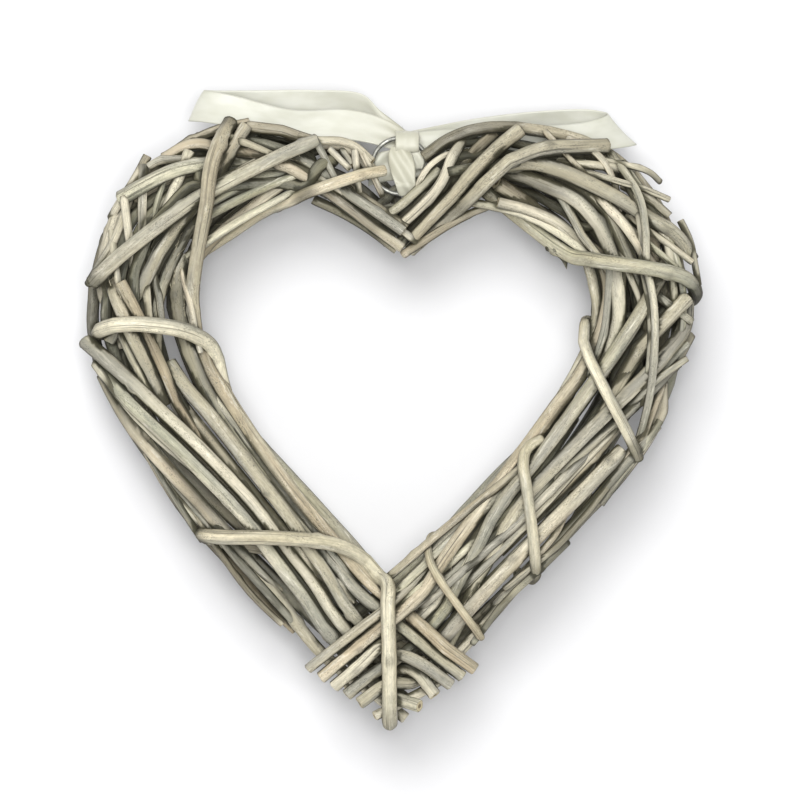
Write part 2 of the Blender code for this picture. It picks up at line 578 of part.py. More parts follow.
def report_close(points, starts, radii, owners, pairs, names):
    """Prints the pairs of canes that are still closer than their gap."""
    i = starts[pairs[:, 0]]
    j = starts[pairs[:, 1]]
    s, t, between = closest(points[i], points[i + 1], points[j], points[j + 1])
    distance = np.linalg.norm(between, axis=1)
    wanted = wanted_distance(radii, i, j, s, t)
    lack = wanted - distance
    for index in np.argsort(-lack)[:12]:
        if lack[index] < CANE_GAP / 3:
            break
        both = [owners[pairs[index, 0]], owners[pairs[index, 1]]]
        label = [names[k] if k < len(names) else "fixed" for k in both]
        spot = points[i[index]] * 1000.0
        print("close:", label, round(lack[index] * 1000, 3), "mm at", spot.round(1))


def relax(lines, fixed):
    """Pushes the canes apart until none touches another, keeping them near their plan."""
    every = [(line, first, last) for _, first, last, line in lines]
    every += [(line, radius, radius) for line, radius in fixed]
    points, starts, radii, owners = segment_arrays(every)
    movable = owners < len(lines)
    free = np.zeros(len(points))
    moving = sum(len(line) for _, _, _, line in lines)
    free[:moving] = 1.0
    goal = points.copy()
    inner = np.zeros(len(points), dtype=bool)
    base = 0
    for _, _, _, line in lines:
        inner[base + 1:base + len(line) - 1] = True
        base += len(line)
    spots = np.nonzero(inner)[0]
    pull = np.array([0.10, 0.02, 0.10])
    for step in range(SETTLING_ROUNDS):
        fade = max(0.0, 1.0 - 1.5 * step / SETTLING_ROUNDS)
        if step % 12 == 0:
            pairs = near_pairs(points, starts, owners, movable, NEAR_ENOUGH)
        points[:moving] += (goal[:moving] - points[:moving]) * pull * fade
        moved = points - goal
        bend = (moved[spots - 1] + moved[spots + 1]) / 2 - moved[spots]
        points[spots] += bend * (0.12 * fade + 0.02 * (step < 0.85 * SETTLING_ROUNDS))
        worst = push_apart(points, starts, radii, pairs, free, 0.8)
    for step in range(CLOSING_ROUNDS):
        if step % 20 == 0:
            pairs = near_pairs(points, starts, owners, movable, NEAR_ENOUGH)
        worst = push_apart(points, starts, radii, pairs, free, 0.9)
        if worst < ALLOWED_SHORTFALL:
            break
    print("largest remaining shortfall of the gap between canes, mm:", round(worst * 1000, 4))
    report_close(points, starts, radii, owners, pairs, [line[0] for line in lines])
    result = []
    base = 0
    for name, first, last, line in lines:
        result.append((name, first, last, points[base:base + len(line)].copy()))
        base += len(line)
    return result


def tube_rings(points, first, last, sides):
    """Rings of a swept tube, carried along without twist."""
    count = len(points)
    directions = [unit(points[k + 1] - points[k]) for k in range(count - 1)]
    tangents = [directions[0]]
    for k in range(1, count - 1):
        tangents.append(unit(directions[k - 1] + directions[k]))
    tangents.append(directions[-1])
    helper = np.array([0.0, -1.0, 0.0])
    if abs(tangents[0] @ helper) > 0.8:
        helper = np.array([1.0, 0.0, 0.0])
    normal = unit(helper - tangents[0] * (helper @ tangents[0]))
    rings = []
    for k in range(count):
        normal = unit(normal - tangents[k] * (normal @ tangents[k]))
        side = np.cross(tangents[k], normal)
        radius = first + (last - first) * k / (count - 1)
        ring = []
        for corner in range(sides):
            turn = 2.0 * math.pi * corner / sides
            ring.append(points[k] + radius * (math.cos(turn) * normal + math.sin(turn) * side))
        rings.append(ring)
    return rings


def tube_object(name, points, first, last, material):
    mesh = bmesh.new()
    rings = tube_rings(points, first, last, CANE_SIDES)
    verts = [[mesh.verts.new(Vector(spot)) for spot in ring] for ring in rings]
    count = len(verts)
    for k in range(count - 1):
        here = verts[k]
        there = verts[k + 1]
        for corner in range(CANE_SIDES):
            after = (corner + 1) % CANE_SIDES
            mesh.faces.new((here[corner], here[after], there[after], there[corner]))
    mesh.faces.new(list(reversed(verts[0])))
    mesh.faces.new(verts[-1])
    bmesh.ops.triangulate(mesh, faces=[f for f in mesh.faces if len(f.verts) == 4])
    bmesh.ops.recalc_face_normals(mesh, faces=mesh.faces)
    return new_object(name, mesh, material)


def new_object(name, mesh, material):
    data = bpy.data.meshes.new(name)
    mesh.to_mesh(data)
    mesh.free()
    data.materials.append(material)
    obj = bpy.data.objects.new(name, data)
    bpy.context.scene.collection.objects.link(obj)
    return obj


def new_material(name, colour, roughness, metallic=0.0):
    material = bpy.data.materials.new(name)
    material.use_nodes = True
    node = material.node_tree.nodes["Principled BSDF"]
    node.inputs["Base Color"].default_value = (*colour, 1.0)
    node.inputs["Roughness"].default_value = roughness
    node.inputs["Metallic"].default_value = metallic
    return material


def ring_object(material):
    """The wire ring, closed on itself."""
    mesh = bmesh.new()
    rows = []
    for k in range(RING_SEGMENTS):
        turn = 2.0 * math.pi * k / RING_SEGMENTS
        out = Vector((math.cos(turn), 0.0, math.sin(turn)))
        row = []
        for corner in range(RING_SIDES):
            angle = 2.0 * math.pi * corner / RING_SIDES
            reach = RING_RADIUS + RING_WIRE_RADIUS * math.cos(angle)
            row.append(mesh.verts.new(out * reach + Vector((0.0, RING_WIRE_RADIUS * math.sin(angle), 0.0))))
        rows.append(row)
    for k in range(RING_SEGMENTS):
        here = rows[k]
        there = rows[(k + 1) % RING_SEGMENTS]
        for corner in range(RING_SIDES):
            after = (corner + 1) % RING_SIDES
            mesh.faces.new((here[corner], here[after], there[after], there[corner]))
    bmesh.ops.triangulate(mesh, faces=mesh.faces[:])
    bmesh.ops.recalc_face_normals(mesh, faces=mesh.faces)
    return new_object("hanging_ring", mesh, material)


def band_solid(name, path, closed, across, width, thickness, material):
    """A ribbon band along a path, with its width in one fixed direction."""
    path = np.asarray(path, dtype=float)
    across = np.asarray(across, dtype=float)
    count = len(path)
    mesh = bmesh.new()
    rows = []
    for k in range(count):
        before = path[(k - 1) % count] if closed or k > 0 else path[k]
        after = path[(k + 1) % count] if closed or k < count - 1 else path[k]
        normal = unit(np.cross(unit(after - before), across))
        row = []
        for side, face in ((-1, -1), (-1, 1), (1, 1), (1, -1)):
            spot = path[k] + across * side * width / 2 + normal * face * thickness / 2
            row.append(mesh.verts.new(Vector(spot)))
        rows.append(row)
    for k in range(count if closed else count - 1):
        here = rows[k]
        there = rows[(k + 1) % count]
        for corner in range(4):
            after = (corner + 1) % 4
            mesh.faces.new((here[corner], here[after], there[after], there[corner]))
    if not closed:
        mesh.faces.new(list(reversed(rows[0])))
        mesh.faces.new(rows[-1])
    bmesh.ops.triangulate(mesh, faces=mesh.faces[:])
    bmesh.ops.recalc_face_normals(mesh, faces=mesh.faces)
    return new_object(name, mesh, material)


def join_solids(target, others):
    for other in others:
        modifier = target.modifiers.new("join", "BOOLEAN")
        modifier.operation = "UNION"
        modifier.solver = "EXACT"
        modifier.object = other
        applied = target.evaluated_get(bpy.context.evaluated_depsgraph_get())
        data = bpy.data.meshes.new_from_object(applied)
        target.modifiers.clear()
        target.data = data
    for other in others:
        bpy.data.objects.remove(other, do_unlink=True)
    return target


def ribbon_object(material):
    """The bow: two loops and a strip behind the ring, a knot around its top and a tail."""
    thick = RIBBON_THICKNESS
    upright = (0.0, 0.0, 1.0)
    sideways = (1.0, 0.0, 0.0)
    left = band_solid("ribbon_bow", LEFT_LOOP, True, upright, RIBBON_WIDTH, thick, material)
    right = band_solid("right_loop", RIGHT_LOOP, True, upright, RIBBON_WIDTH * 0.995, thick * 1.02, material)
    strip = band_solid("strip", CROSS_STRIP, False, upright, RIBBON_WIDTH * 0.990, thick * 1.04, material)
    knot = band_solid("knot", knot_path(), True, sideways, KNOT_WIDTH, thick, material)
    tail = band_solid("tail", tail_path(), False, sideways, TAIL_WIDTH, thick * 0.96, material)
    return join_solids(left, [right, strip, knot, tail])


def build():
    clear_scene()
    willow = new_material("greywashed_willow", (0.42, 0.38, 0.31), 0.85)
    binding = new_material("binding_willow", (0.47, 0.43, 0.34), 0.85)
    steel = new_material("ring_steel", (0.45, 0.46, 0.47), 0.35, 1.0)
    satin = new_material("cream_satin", (0.86, 0.84, 0.72), 0.45)
    canes = relax(all_canes(), fixed_lines())
    for name, first, last, points in canes:
        material = binding if name.startswith("binding") else willow
        tube_object(name, points, first, last, material)
    ring_object(steel)
    ribbon_object(satin)


build()
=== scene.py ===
# %% [markdown]
# # A heart wreath of greywashed willow
# This lesson dresses a finished CAD model of a wicker heart. The CAD part gives each cane as a
# plain six-sided rod. Here every rod becomes a real-looking willow cane with bark ridges, bud
# scars, square-cut ends and a washed-out grey colour. A wire ring and a satin bow finish it.
# The CAD frame is loaded first, because every piece rides on it and sits in its place.

import math

import bmesh
import bpy
import numpy as np
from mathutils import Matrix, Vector


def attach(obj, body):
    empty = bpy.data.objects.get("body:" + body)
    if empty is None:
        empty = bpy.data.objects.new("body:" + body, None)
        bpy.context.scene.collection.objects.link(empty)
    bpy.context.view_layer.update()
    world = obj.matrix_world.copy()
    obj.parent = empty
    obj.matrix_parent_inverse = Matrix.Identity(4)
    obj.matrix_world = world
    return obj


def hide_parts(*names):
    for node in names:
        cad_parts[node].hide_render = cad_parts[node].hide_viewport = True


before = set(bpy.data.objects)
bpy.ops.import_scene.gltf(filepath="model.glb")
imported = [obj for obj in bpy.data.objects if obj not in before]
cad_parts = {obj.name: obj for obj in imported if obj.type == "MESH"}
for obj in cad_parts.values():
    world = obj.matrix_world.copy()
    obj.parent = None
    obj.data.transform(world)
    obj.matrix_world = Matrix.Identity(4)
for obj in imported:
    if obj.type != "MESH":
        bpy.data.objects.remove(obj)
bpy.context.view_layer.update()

# %% [markdown]
# ## Camera
# The wreath hangs against a pale wall and is seen square on. A long lens from far away keeps
# the front canes and the back canes nearly in line, as on a catalogue picture. The lens is
# worked out from the width that the picture must show at the middle of the wreath.

# %% Camera
PICTURE_WIDTH = 0.3928
CAMERA_DISTANCE = 2.6
PICTURE_MIDDLE = Vector((0.0, 0.0, -0.1149))
SENSOR_WIDTH = 36.0
FAR_LIMIT = 30.0


def new_object(name, data):
    """An object at the origin, put into the scene."""
    thing = bpy.data.objects.new(name, data)
    bpy.context.scene.collection.objects.link(thing)
    return thing


camera_data = bpy.data.cameras.new("camera")
camera_data.sensor_width = SENSOR_WIDTH
camera_data.lens = SENSOR_WIDTH * CAMERA_DISTANCE / PICTURE_WIDTH
camera_data.clip_end = FAR_LIMIT
camera = new_object("camera", camera_data)
camera.location = PICTURE_MIDDLE + Vector((0.0, -CAMERA_DISTANCE, 0.0))
camera.rotation_euler = (math.radians(90.0), 0.0, 0.0)
bpy.context.scene.camera = camera
bpy.context.scene.view_settings.view_transform = "Standard"
print("lens", round(camera_data.lens, 1), "mm")

# %% [markdown]
# ## Small helpers for node trees
# Shaders and Geometry Nodes are both built from nodes and links. One helper adds a node, fills
# its sockets with numbers or with other nodes' outputs, and sets its options. The others are
# short names for the nodes that come up again and again.


# %% Node helpers
def fill_sockets(tree, node, sockets):
    """Links each named socket to another node's output, or gives it a plain value."""
    for key, value in sockets.items():
        if isinstance(value, bpy.types.NodeSocket):
            tree.links.new(value, node.inputs[key])
        else:
            node.inputs[key].default_value = value


def add_node(tree, kind, sockets=None, **options):
    node = tree.nodes.new(kind)
    for option, value in options.items():
        setattr(node, option, value)
    fill_sockets(tree, node, sockets or {})
    return node


def first_output(tree, kind, sockets=None, **options):
    return add_node(tree, kind, sockets, **options).outputs[0]


def math_node(tree, operation, first, second=0.0, third=0.0, clamp=False):
    sockets = {0: first, 1: second, 2: third}
    return first_output(tree, "ShaderNodeMath", sockets, operation=operation, use_clamp=clamp)


def vector_node(tree, operation, first, second):
    return first_output(tree, "ShaderNodeVectorMath", {0: first, 1: second}, operation=operation)


def split_vector(tree, vector):
    return add_node(tree, "ShaderNodeSeparateXYZ", {0: vector}).outputs


def join_vector(tree, sockets):
    return first_output(tree, "ShaderNodeCombineXYZ", sockets)


def straight_map(tree, value, low, high, to_low, to_high, curve="LINEAR"):
    sockets = {0: value, 1: low, 2: high, 3: to_low, 4: to_high}
    return first_output(tree, "ShaderNodeMapRange", sockets, interpolation_type=curve)


def smooth_step(tree, value, low, high, to_low=0.0, to_high=1.0):
    return straight_map(tree, value, low, high, to_low, to_high, "SMOOTHSTEP")


def noise(tree, vector, scale, detail=2.0, roughness=0.5, distortion=0.0):
    """A noise that repeats scale times in a metre along each axis."""
    stretched = vector_node(tree, "MULTIPLY", vector, scale)
    sockets = {"Vector": stretched, "Scale": 1.0, "Detail": detail, "Roughness": roughness,
               "Distortion": distortion}
    return first_output(tree, "ShaderNodeTexNoise", sockets)


def mix_colour(tree, factor, first, second, blend="MIX"):
    sockets = {0: factor, 6: first, 7: second}
    return add_node(tree, "ShaderNodeMix", sockets, data_type="RGBA", blend_type=blend).outputs[2]


def bump(tree, height, strength, distance):
    sockets = {"Height": height, "Strength": strength, "Distance": distance}
    return first_output(tree, "ShaderNodeBump", sockets)


def add_sockets(tree, direction, rows):
    """A group's own inputs or outputs: the name, the kind and, for some, the value it starts with."""
    for name, kind, *start in rows:
        socket = tree.interface.new_socket(name, in_out=direction, socket_type="NodeSocket" + kind)
        if start:
            socket.default_value = start[0]


def colour(red, green, blue):
    """A colour as the eye names it (0 to 255) in the linear numbers that Blender mixes."""
    parts = [v / 255.0 for v in (red, green, blue)]
    return tuple(p / 12.92 if p < 0.04045 else ((p + 0.055) / 1.055) ** 2.4 for p in parts) + (1.0,)


print("a middle grey is", round(colour(128, 128, 128)[0], 3), "in linear light")

# %% [markdown]
# ## Bark pattern
# Greywashed willow is tan wood with a thin grey wash that has rubbed off unevenly. Along the
# grain run fine pale fibres and charcoal streaks, and small dark specks sit between them. One
# shader group paints all of that. It reads the cane's own grain coordinate, so the streaks
# follow each bend, and three numbers that differ from cane to cane: the first makes the wood
# paler, the second greyer and greener, the third less streaked.

# %% Bark colours, layer by layer
# Each noise: repeats in a metre (across, across, along the cane), detail, roughness, distortion.
BARK_NOISES = {
    "broad": ((190, 190, 24), 3, 0.6),
    "fibres": ((1500, 1500, 40), 3, 0.65),
    "mottle": ((620, 620, 260), 5, 0.72, 0.3),
    "lines": ((760, 760, 17), 4, 0.6),
    "specks": ((2300, 2300, 900), 2, 0.6),
    "clusters": ((210, 210, 70), 2),
    "washed": ((300, 300, 62), 5, 0.68, 0.6),
    "greyed": ((110, 110, 15), 3, 0.55),
    "leaning": ((90, 90, 11), 2),
}
TINT_SHIFT = (3.7, 2.3, 5.1)
MOSSY, PINKISH = colour(236, 241, 230), colour(249, 239, 230)
# PALE_WASH is the real pale wash; the other colour is painted shade, laid where canes touch and cover each
# other.
PALE_WASH, PAINTED_SHADE_COLOUR = colour(222, 217, 200), colour(100, 99, 84)


def washed_wood(tree, take, tint, bark):
    """The wood's own colour with the grey wash and the pale wash on it."""
    # The wood runs from mid to pale tan, with each cane a little different.
    lightness = math_node(tree, "MULTIPLY_ADD", tint[0], 0.22, bark["broad"])
    wood = mix_colour(tree, smooth_step(tree, lightness, 0.28, 0.78), take["Mid wood"], take["Pale wood"])
    # The grey wash lies in long patches, with more of it on some canes than on others.
    greyed = math_node(tree, "MULTIPLY_ADD", tint[1], 0.10, bark["greyed"])
    wood = mix_colour(tree, smooth_step(tree, greyed, 0.42, 0.70), wood, take["Grey wash"])
    # Some stretches lean to a mossy green, others to a pinkish brown.
    lean = math_node(tree, "MULTIPLY_ADD", bark["leaning"], 2.2, -1.1)
    lean = math_node(tree, "MULTIPLY_ADD", tint[1], 0.6, lean)
    wood = mix_colour(tree, smooth_step(tree, lean, 0.0, 1.3), wood, MOSSY, "MULTIPLY")
    wood = mix_colour(tree, smooth_step(tree, lean, -0.1, -1.0), wood, PINKISH, "MULTIPLY")
    # Pale wash is left in the grain.
    pale = math_node(tree, "MULTIPLY", smooth_step(tree, bark["washed"], 0.54, 0.72), take["Wash"])
    return mix_colour(tree, pale, wood, PALE_WASH)


def fine_tone(tree, wood, bark):
    """Fine fibres and mottling lighten and darken the colour."""
    fibre_tone = straight_map(tree, bark["fibres"], 0.25, 0.75, 0.74, 1.16)
    mottle_tone = straight_map(tree, bark["mottle"], 0.25, 0.75, 0.64, 1.26)
    tone = math_node(tree, "MULTIPLY", fibre_tone, mottle_tone)
    grey = first_output(tree, "ShaderNodeCombineColor", {0: tone, 1: tone, 2: tone})
    return mix_colour(tree, 1.0, wood, grey, "MULTIPLY")


def charcoal_marks(tree, wood, take, tint, bark):
    """Charcoal streaks along the grain, and specks in clusters. It also gives the streaks' mask."""
    wear = math_node(tree, "MULTIPLY_ADD", tint[2], -0.03, 0.425)
    streaks = smooth_step(tree, bark["lines"], wear, math_node(tree, "SUBTRACT", wear, 0.11))
    broken = math_node(tree, "MULTIPLY_ADD", bark["mottle"], 1.4, -0.05, clamp=True)
    streaks = math_node(tree, "MULTIPLY", streaks, broken)
    wood = mix_colour(tree, math_node(tree, "MULTIPLY", streaks, take["Streaks"]), wood, take["Charcoal"])
    clusters = math_node(tree, "MULTIPLY_ADD", smooth_step(tree, bark["clusters"], 0.44, 0.64), 0.55, 0.05)
    specks = math_node(tree, "MULTIPLY", smooth_step(tree, bark["specks"], 0.54, 0.64), take["Streaks"])
    specks = math_node(tree, "MULTIPLY", specks, clusters)
    return mix_colour(tree, specks, wood, take["Charcoal"]), streaks


def darken_by_painted_shade(tree, wood, take, bark):
    """Painted shade between the canes darkens the colour, with a broken edge."""
    ragged = math_node(tree, "MULTIPLY_ADD", bark["fibres"], 0.7, -0.7)
    ragged = math_node(tree, "MULTIPLY_ADD", bark["mottle"], 0.7, ragged)
    shade_mask = smooth_step(tree, math_node(tree, "ADD", take["Stain"], ragged), 0.15, 1.15)
    return mix_colour(tree, shade_mask, wood, PAINTED_SHADE_COLOUR, "MULTIPLY")


print("bark noises", len(BARK_NOISES))

# %% [markdown]
# The group puts the layers on top of one another: wood, wash, fine tone, charcoal, painted shade. It also
# gives a height for the bump and a roughness.


# %% Bark pattern group
def bark_pattern_group():
    tree = bpy.data.node_groups.new("bark_pattern", "ShaderNodeTree")
    add_sockets(tree, "INPUT", (
        ("Grain", "Vector"), ("Tint", "Vector"), ("Pale wood", "Color"), ("Mid wood", "Color"),
        ("Grey wash", "Color"), ("Charcoal", "Color"), ("Streaks", "Float", 0.7),
        ("Wash", "Float", 0.5), ("Stain", "Float", 0.0),
    ))
    add_sockets(tree, "OUTPUT", (("Color", "Color"), ("Height", "Float"), ("Roughness", "Float")))
    take = add_node(tree, "NodeGroupInput").outputs
    tint = split_vector(tree, take["Tint"])
    shift = vector_node(tree, "MULTIPLY", take["Tint"], TINT_SHIFT)
    grain = vector_node(tree, "ADD", take["Grain"], shift)
    bark = {name: noise(tree, grain, *row) for name, row in BARK_NOISES.items()}

    wood = fine_tone(tree, washed_wood(tree, take, tint, bark), bark)
    wood, streaks = charcoal_marks(tree, wood, take, tint, bark)
    # Painted shade from the cane tree darkens the wood.
    wood = darken_by_painted_shade(tree, wood, take, bark)
    height = math_node(tree, "MULTIPLY", bark["mottle"], 0.5)
    height = math_node(tree, "MULTIPLY_ADD", bark["fibres"], 0.55, height)
    height = math_node(tree, "MULTIPLY_ADD", streaks, -0.45, height)
    rough = straight_map(tree, bark["mottle"], 0.3, 0.7, 0.62, 0.86)
    add_node(tree, "NodeGroupOutput", {"Color": wood, "Height": height, "Roughness": rough})
    return tree


bark_pattern = bark_pattern_group()
print("bark pattern nodes", len(bark_pattern.nodes))

# %% [markdown]
# ## Willow materials
# The canes along the heart and the canes that bind them share the pattern. The binding canes
# are a little paler and yellower, with fewer streaks.

# %% Willow materials
SCAR_DARKNESS = 0.45


def read_attribute(tree, name, output):
    node = add_node(tree, "ShaderNodeAttribute", attribute_name=name, attribute_type="GEOMETRY")
    return node.outputs[output]


def new_material(name):
    material = bpy.data.materials.new(name)
    material.use_nodes = True
    shader = material.node_tree.nodes["Principled BSDF"]
    return material, material.node_tree, shader


def willow_material(name, pale, mid, wash_grey, charcoal, streaks, wash):
    material, tree, shader = new_material(name)
    # The bark reads the painted shade that the cane tree stored on each point.
    sockets = {
        "Grain": read_attribute(tree, "grain", "Vector"), "Tint": read_attribute(tree, "tint", "Vector"),
        "Stain": read_attribute(tree, "stain", "Fac"), "Pale wood": pale, "Mid wood": mid,
        "Grey wash": wash_grey, "Charcoal": charcoal, "Streaks": streaks, "Wash": wash,
    }
    pattern = add_node(tree, "ShaderNodeGroup", sockets, node_tree=bark_pattern)
    scar = math_node(tree, "MULTIPLY", read_attribute(tree, "scar", "Fac"), SCAR_DARKNESS)
    fill_sockets(tree, shader, {
        "Base Color": mix_colour(tree, scar, pattern.outputs["Color"], charcoal),
        "Roughness": pattern.outputs["Roughness"],
        "Normal": bump(tree, pattern.outputs["Height"], 0.65, 0.0008),
    })
    return material


greywashed_willow = willow_material("greywashed_willow", colour(209, 202, 180), colour(166, 159, 136),
                                    colour(150, 147, 134), colour(40, 40, 33), 0.95, 0.6)
binding_willow = willow_material("binding_willow", colour(216, 209, 184), colour(180, 172, 145),
                                 colour(164, 161, 145), colour(56, 54, 44), 0.85, 0.5)
print("willow materials", greywashed_willow.name, binding_willow.name)

# %% [markdown]
# ## Cut ends
# Each cane was cut square with shears. The cut face is pale wood with a soft brown pith in the
# middle and a dark rim of bark. The cane tree further on marks the heart of the wood on each
# end, and the colours run from there to the rim.

# %% Cut end material
CUT_WOOD_DARK, CUT_WOOD_PALE = colour(150, 139, 110), colour(198, 187, 155)
PITH, BARK_RIM = colour(92, 80, 58), colour(84, 80, 66)


def cut_face_material():
    material, tree, shader = new_material("cut_willow_end")
    place = add_node(tree, "ShaderNodeTexCoord").outputs["Object"]
    grain = noise(tree, place, (900, 900, 900), detail=4, roughness=0.7)
    ring = math_node(tree, "MULTIPLY_ADD", grain, 0.35, read_attribute(tree, "heart", "Fac"))
    wood = mix_colour(tree, smooth_step(tree, grain, 0.3, 0.7), CUT_WOOD_DARK, CUT_WOOD_PALE)
    wood = mix_colour(tree, smooth_step(tree, ring, 1.05, 1.2), wood, PITH)
    wood = mix_colour(tree, smooth_step(tree, ring, 0.32, 0.16), wood, BARK_RIM)
    normal = bump(tree, grain, 0.6, 0.0005)
    fill_sockets(tree, shader, {"Base Color": wood, "Roughness": 0.85, "Normal": normal})
    return material


cut_willow_end = cut_face_material()
print("cut end nodes", len(cut_willow_end.node_tree.nodes))

# %% [markdown]
# ## Where each cane runs
# The CAD rod of a cane has six corners in each ring. Counting steps from one end face finds the
# rings in order, and the middle of each ring is a point on the cane's path. This keeps every
# detailed cane where its solid is, with no table of numbers copied by hand.

# %% Paths from the CAD rods
ROD_SIDES = 6
SAME_FACE = 0.9998
ROUND_ENOUGH = 1.06
WELD = 1e-6


def end_face(mesh):
    """The six corners of one flat end of a rod."""
    seen = set()
    for first in mesh.faces:
        if first in seen:
            continue
        patch, queue = {first}, [first]
        while queue:
            face = queue.pop()
            for edge in face.edges:
                for near in edge.link_faces:
                    if near not in patch and near.normal.dot(first.normal) > SAME_FACE:
                        patch.add(near)
                        queue.append(near)
        seen |= patch
        corners = {v for face in patch for v in face.verts}
        if len(patch) == ROD_SIDES - 2 and len(corners) == ROD_SIDES:
            middle = sum((v.co for v in corners), Vector()) / ROD_SIDES
            reach = [(v.co - middle).length for v in corners]
            if max(reach) < ROUND_ENOUGH * min(reach):
                return corners
    raise RuntimeError("no end face found")


def cane_path(node):
    """Points and radii along one cane, from its CAD rod."""
    mesh = bmesh.new()
    mesh.from_mesh(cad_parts[node].data)
    bmesh.ops.remove_doubles(mesh, verts=mesh.verts, dist=WELD)
    ring, used, points, radii = end_face(mesh), set(), [], []
    while ring:
        used |= ring
        middle = sum((v.co for v in ring), Vector()) / len(ring)
        points.append(middle)
        radii.append(sum((v.co - middle).length for v in ring) / len(ring))
        ring = {edge.other_vert(v) for v in ring for edge in v.link_edges} - used
    mesh.free()
    return points, radii


cane_nodes = sorted(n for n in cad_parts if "cane" in n)
rod_paths = {node: cane_path(node) for node in cane_nodes}
print("canes", len(rod_paths), "with", sum(len(points) for points, _ in rod_paths.values()), "rings")

# %% [markdown]
# A real cane is stiff, but the rods were pushed apart ring by ring and wobble a little. So each
# path is evened out, and no point of it moves further than 1.6 mm.

# %% Stiff paths
CALMING_ROUNDS = 10
LARGEST_MOVE = 0.0016


def stiffened(points, radii):
    rough = np.array([tuple(p) for p in points])
    calm = rough.copy()
    for _ in range(CALMING_ROUNDS):
        calm[1:-1] = 0.5 * calm[1:-1] + 0.25 * (calm[:-2] + calm[2:])
    moved = calm - rough
    far = np.linalg.norm(moved, axis=1, keepdims=True)
    calm = rough + moved * np.minimum(1.0, LARGEST_MOVE / np.maximum(far, 1e-9))
    return [Vector(p) for p in calm], radii


paths = {node: stiffened(*rod_paths[node]) for node in cane_nodes}
length = sum((b - a).length for points, _ in paths.values() for a, b in zip(points, points[1:]))
print("total length of the canes", round(length, 2), "m")

# %% [markdown]
# ## One Geometry Nodes tree for all canes
# A cane is a rod swept along a path, so a rule makes it: resample the path, sweep a many-sided
# circle, then push the surface in and out. The line keeps how far along it each point is, and
# the circle keeps where around it each point is. The later steps need both.

# %% Cane tree: line and circle
KINK_SEED = 5


def captured(tree, geometry, name, kind, value):
    """Keeps a value on a piece of geometry for use further on."""
    node = add_node(tree, "GeometryNodeCaptureAttribute", {0: geometry})
    node.capture_items.new(kind, name)
    tree.links.new(value, node.inputs[name])
    return node.outputs


def cane_line(tree, take):
    """The path as a soft curve in even steps, with some of its points left as kinks."""
    line = first_output(tree, "GeometryNodeMeshToCurve", {0: take["Path"]})
    line = first_output(tree, "GeometryNodeCurveSplineType", {0: line}, spline_type="BEZIER")
    line = first_output(tree, "GeometryNodeCurveSetHandles", {0: line}, handle_type="AUTO")
    sockets = {"Probability": take["Kinks"], "Seed": KINK_SEED}
    kinked = add_node(tree, "FunctionNodeRandomValue", sockets, data_type="BOOLEAN").outputs["Value"]
    sockets = {"Curve": line, "Selection": kinked}
    line = first_output(tree, "GeometryNodeCurveSetHandles", sockets, handle_type="VECTOR")
    sockets = {"Curve": line, "Length": take["Ring spacing"]}
    line = first_output(tree, "GeometryNodeResampleCurve", sockets, mode="LENGTH")
    length = add_node(tree, "GeometryNodeSplineParameter").outputs["Length"]
    return captured(tree, line, "Along", "FLOAT", length)


def cane_circle(tree, take):
    sockets = {"Resolution": take["Sides"], "Radius": 1.0}
    circle = first_output(tree, "GeometryNodeCurvePrimitiveCircle", sockets)
    return captured(tree, circle, "Around", "VECTOR", first_output(tree, "GeometryNodeInputPosition"))


print("kink seed", KINK_SEED)

# %% [markdown]
# ### Buds and thickness
# Willow has a bud every few centimetres, each on another side. Where one was, the cane swells
# and a scar is left. A cell pattern along the cane puts the buds at uneven distances and gives
# each its side. Between the buds the thickness changes slowly.

# %% Cane tree: buds and sweep
SEED_STEP = 7.31
BUDS_PER_METRE = 15.0
BUD_REACH = 0.060
THICKNESS_CHANGES = 28.0
FULL_TURN = 6.2832


def named_attribute(tree, name):
    return first_output(tree, "GeometryNodeInputNamedAttribute", {"Name": name})


def bud_marks(tree, place, around):
    """The swelling at each bud, and the scar on the bud's own side."""
    sockets = {"W": place, "Scale": BUDS_PER_METRE}
    buds = add_node(tree, "ShaderNodeTexVoronoi", sockets, voronoi_dimensions="1D").outputs
    swelling = smooth_step(tree, buds["Distance"], BUD_REACH, 0.0)
    turn = math_node(tree, "MULTIPLY", split_vector(tree, buds["Color"])[0], FULL_TURN)
    side = join_vector(tree, {0: math_node(tree, "COSINE", turn), 1: math_node(tree, "SINE", turn)})
    sockets = {0: around["Around"], 1: side}
    facing = add_node(tree, "ShaderNodeVectorMath", sockets, operation="DOT_PRODUCT").outputs["Value"]
    return swelling, math_node(tree, "MULTIPLY", swelling, smooth_step(tree, facing, 0.70, 0.98))


def swept_cane(tree, take, place, along, around, swelling):
    """Sweeps the circle along the line. It also gives the thickness that the sweep starts from."""
    sockets = {"W": math_node(tree, "MULTIPLY", place, THICKNESS_CHANGES), "Scale": 1.0}
    slow = first_output(tree, "ShaderNodeTexNoise", sockets, noise_dimensions="1D")
    thick = math_node(tree, "MULTIPLY", named_attribute(tree, "thick"), take["Fullness"])
    swell = math_node(tree, "MULTIPLY", swelling, take["Knots"])
    swell = math_node(tree, "MULTIPLY_ADD", swell, 0.6, 0.93)
    swell = math_node(tree, "MULTIPLY_ADD", slow, 0.09, swell)
    scale = math_node(tree, "MULTIPLY", thick, swell)
    sockets = {0: along[0], 1: around[0], "Fill Caps": True, "Scale": scale}
    return first_output(tree, "GeometryNodeCurveToMesh", sockets), thick


print("buds, about", BUDS_PER_METRE, "in a metre")

# %% [markdown]
# ### Flats and ridges
# Under the bark a cane isn't round: it has long flats, and fine ridges run along it. Two noises
# that are stretched along the grain push the surface in and out by a share of the thickness.
# The grain coordinate has metres in all three numbers, so the bark keeps its real scale.

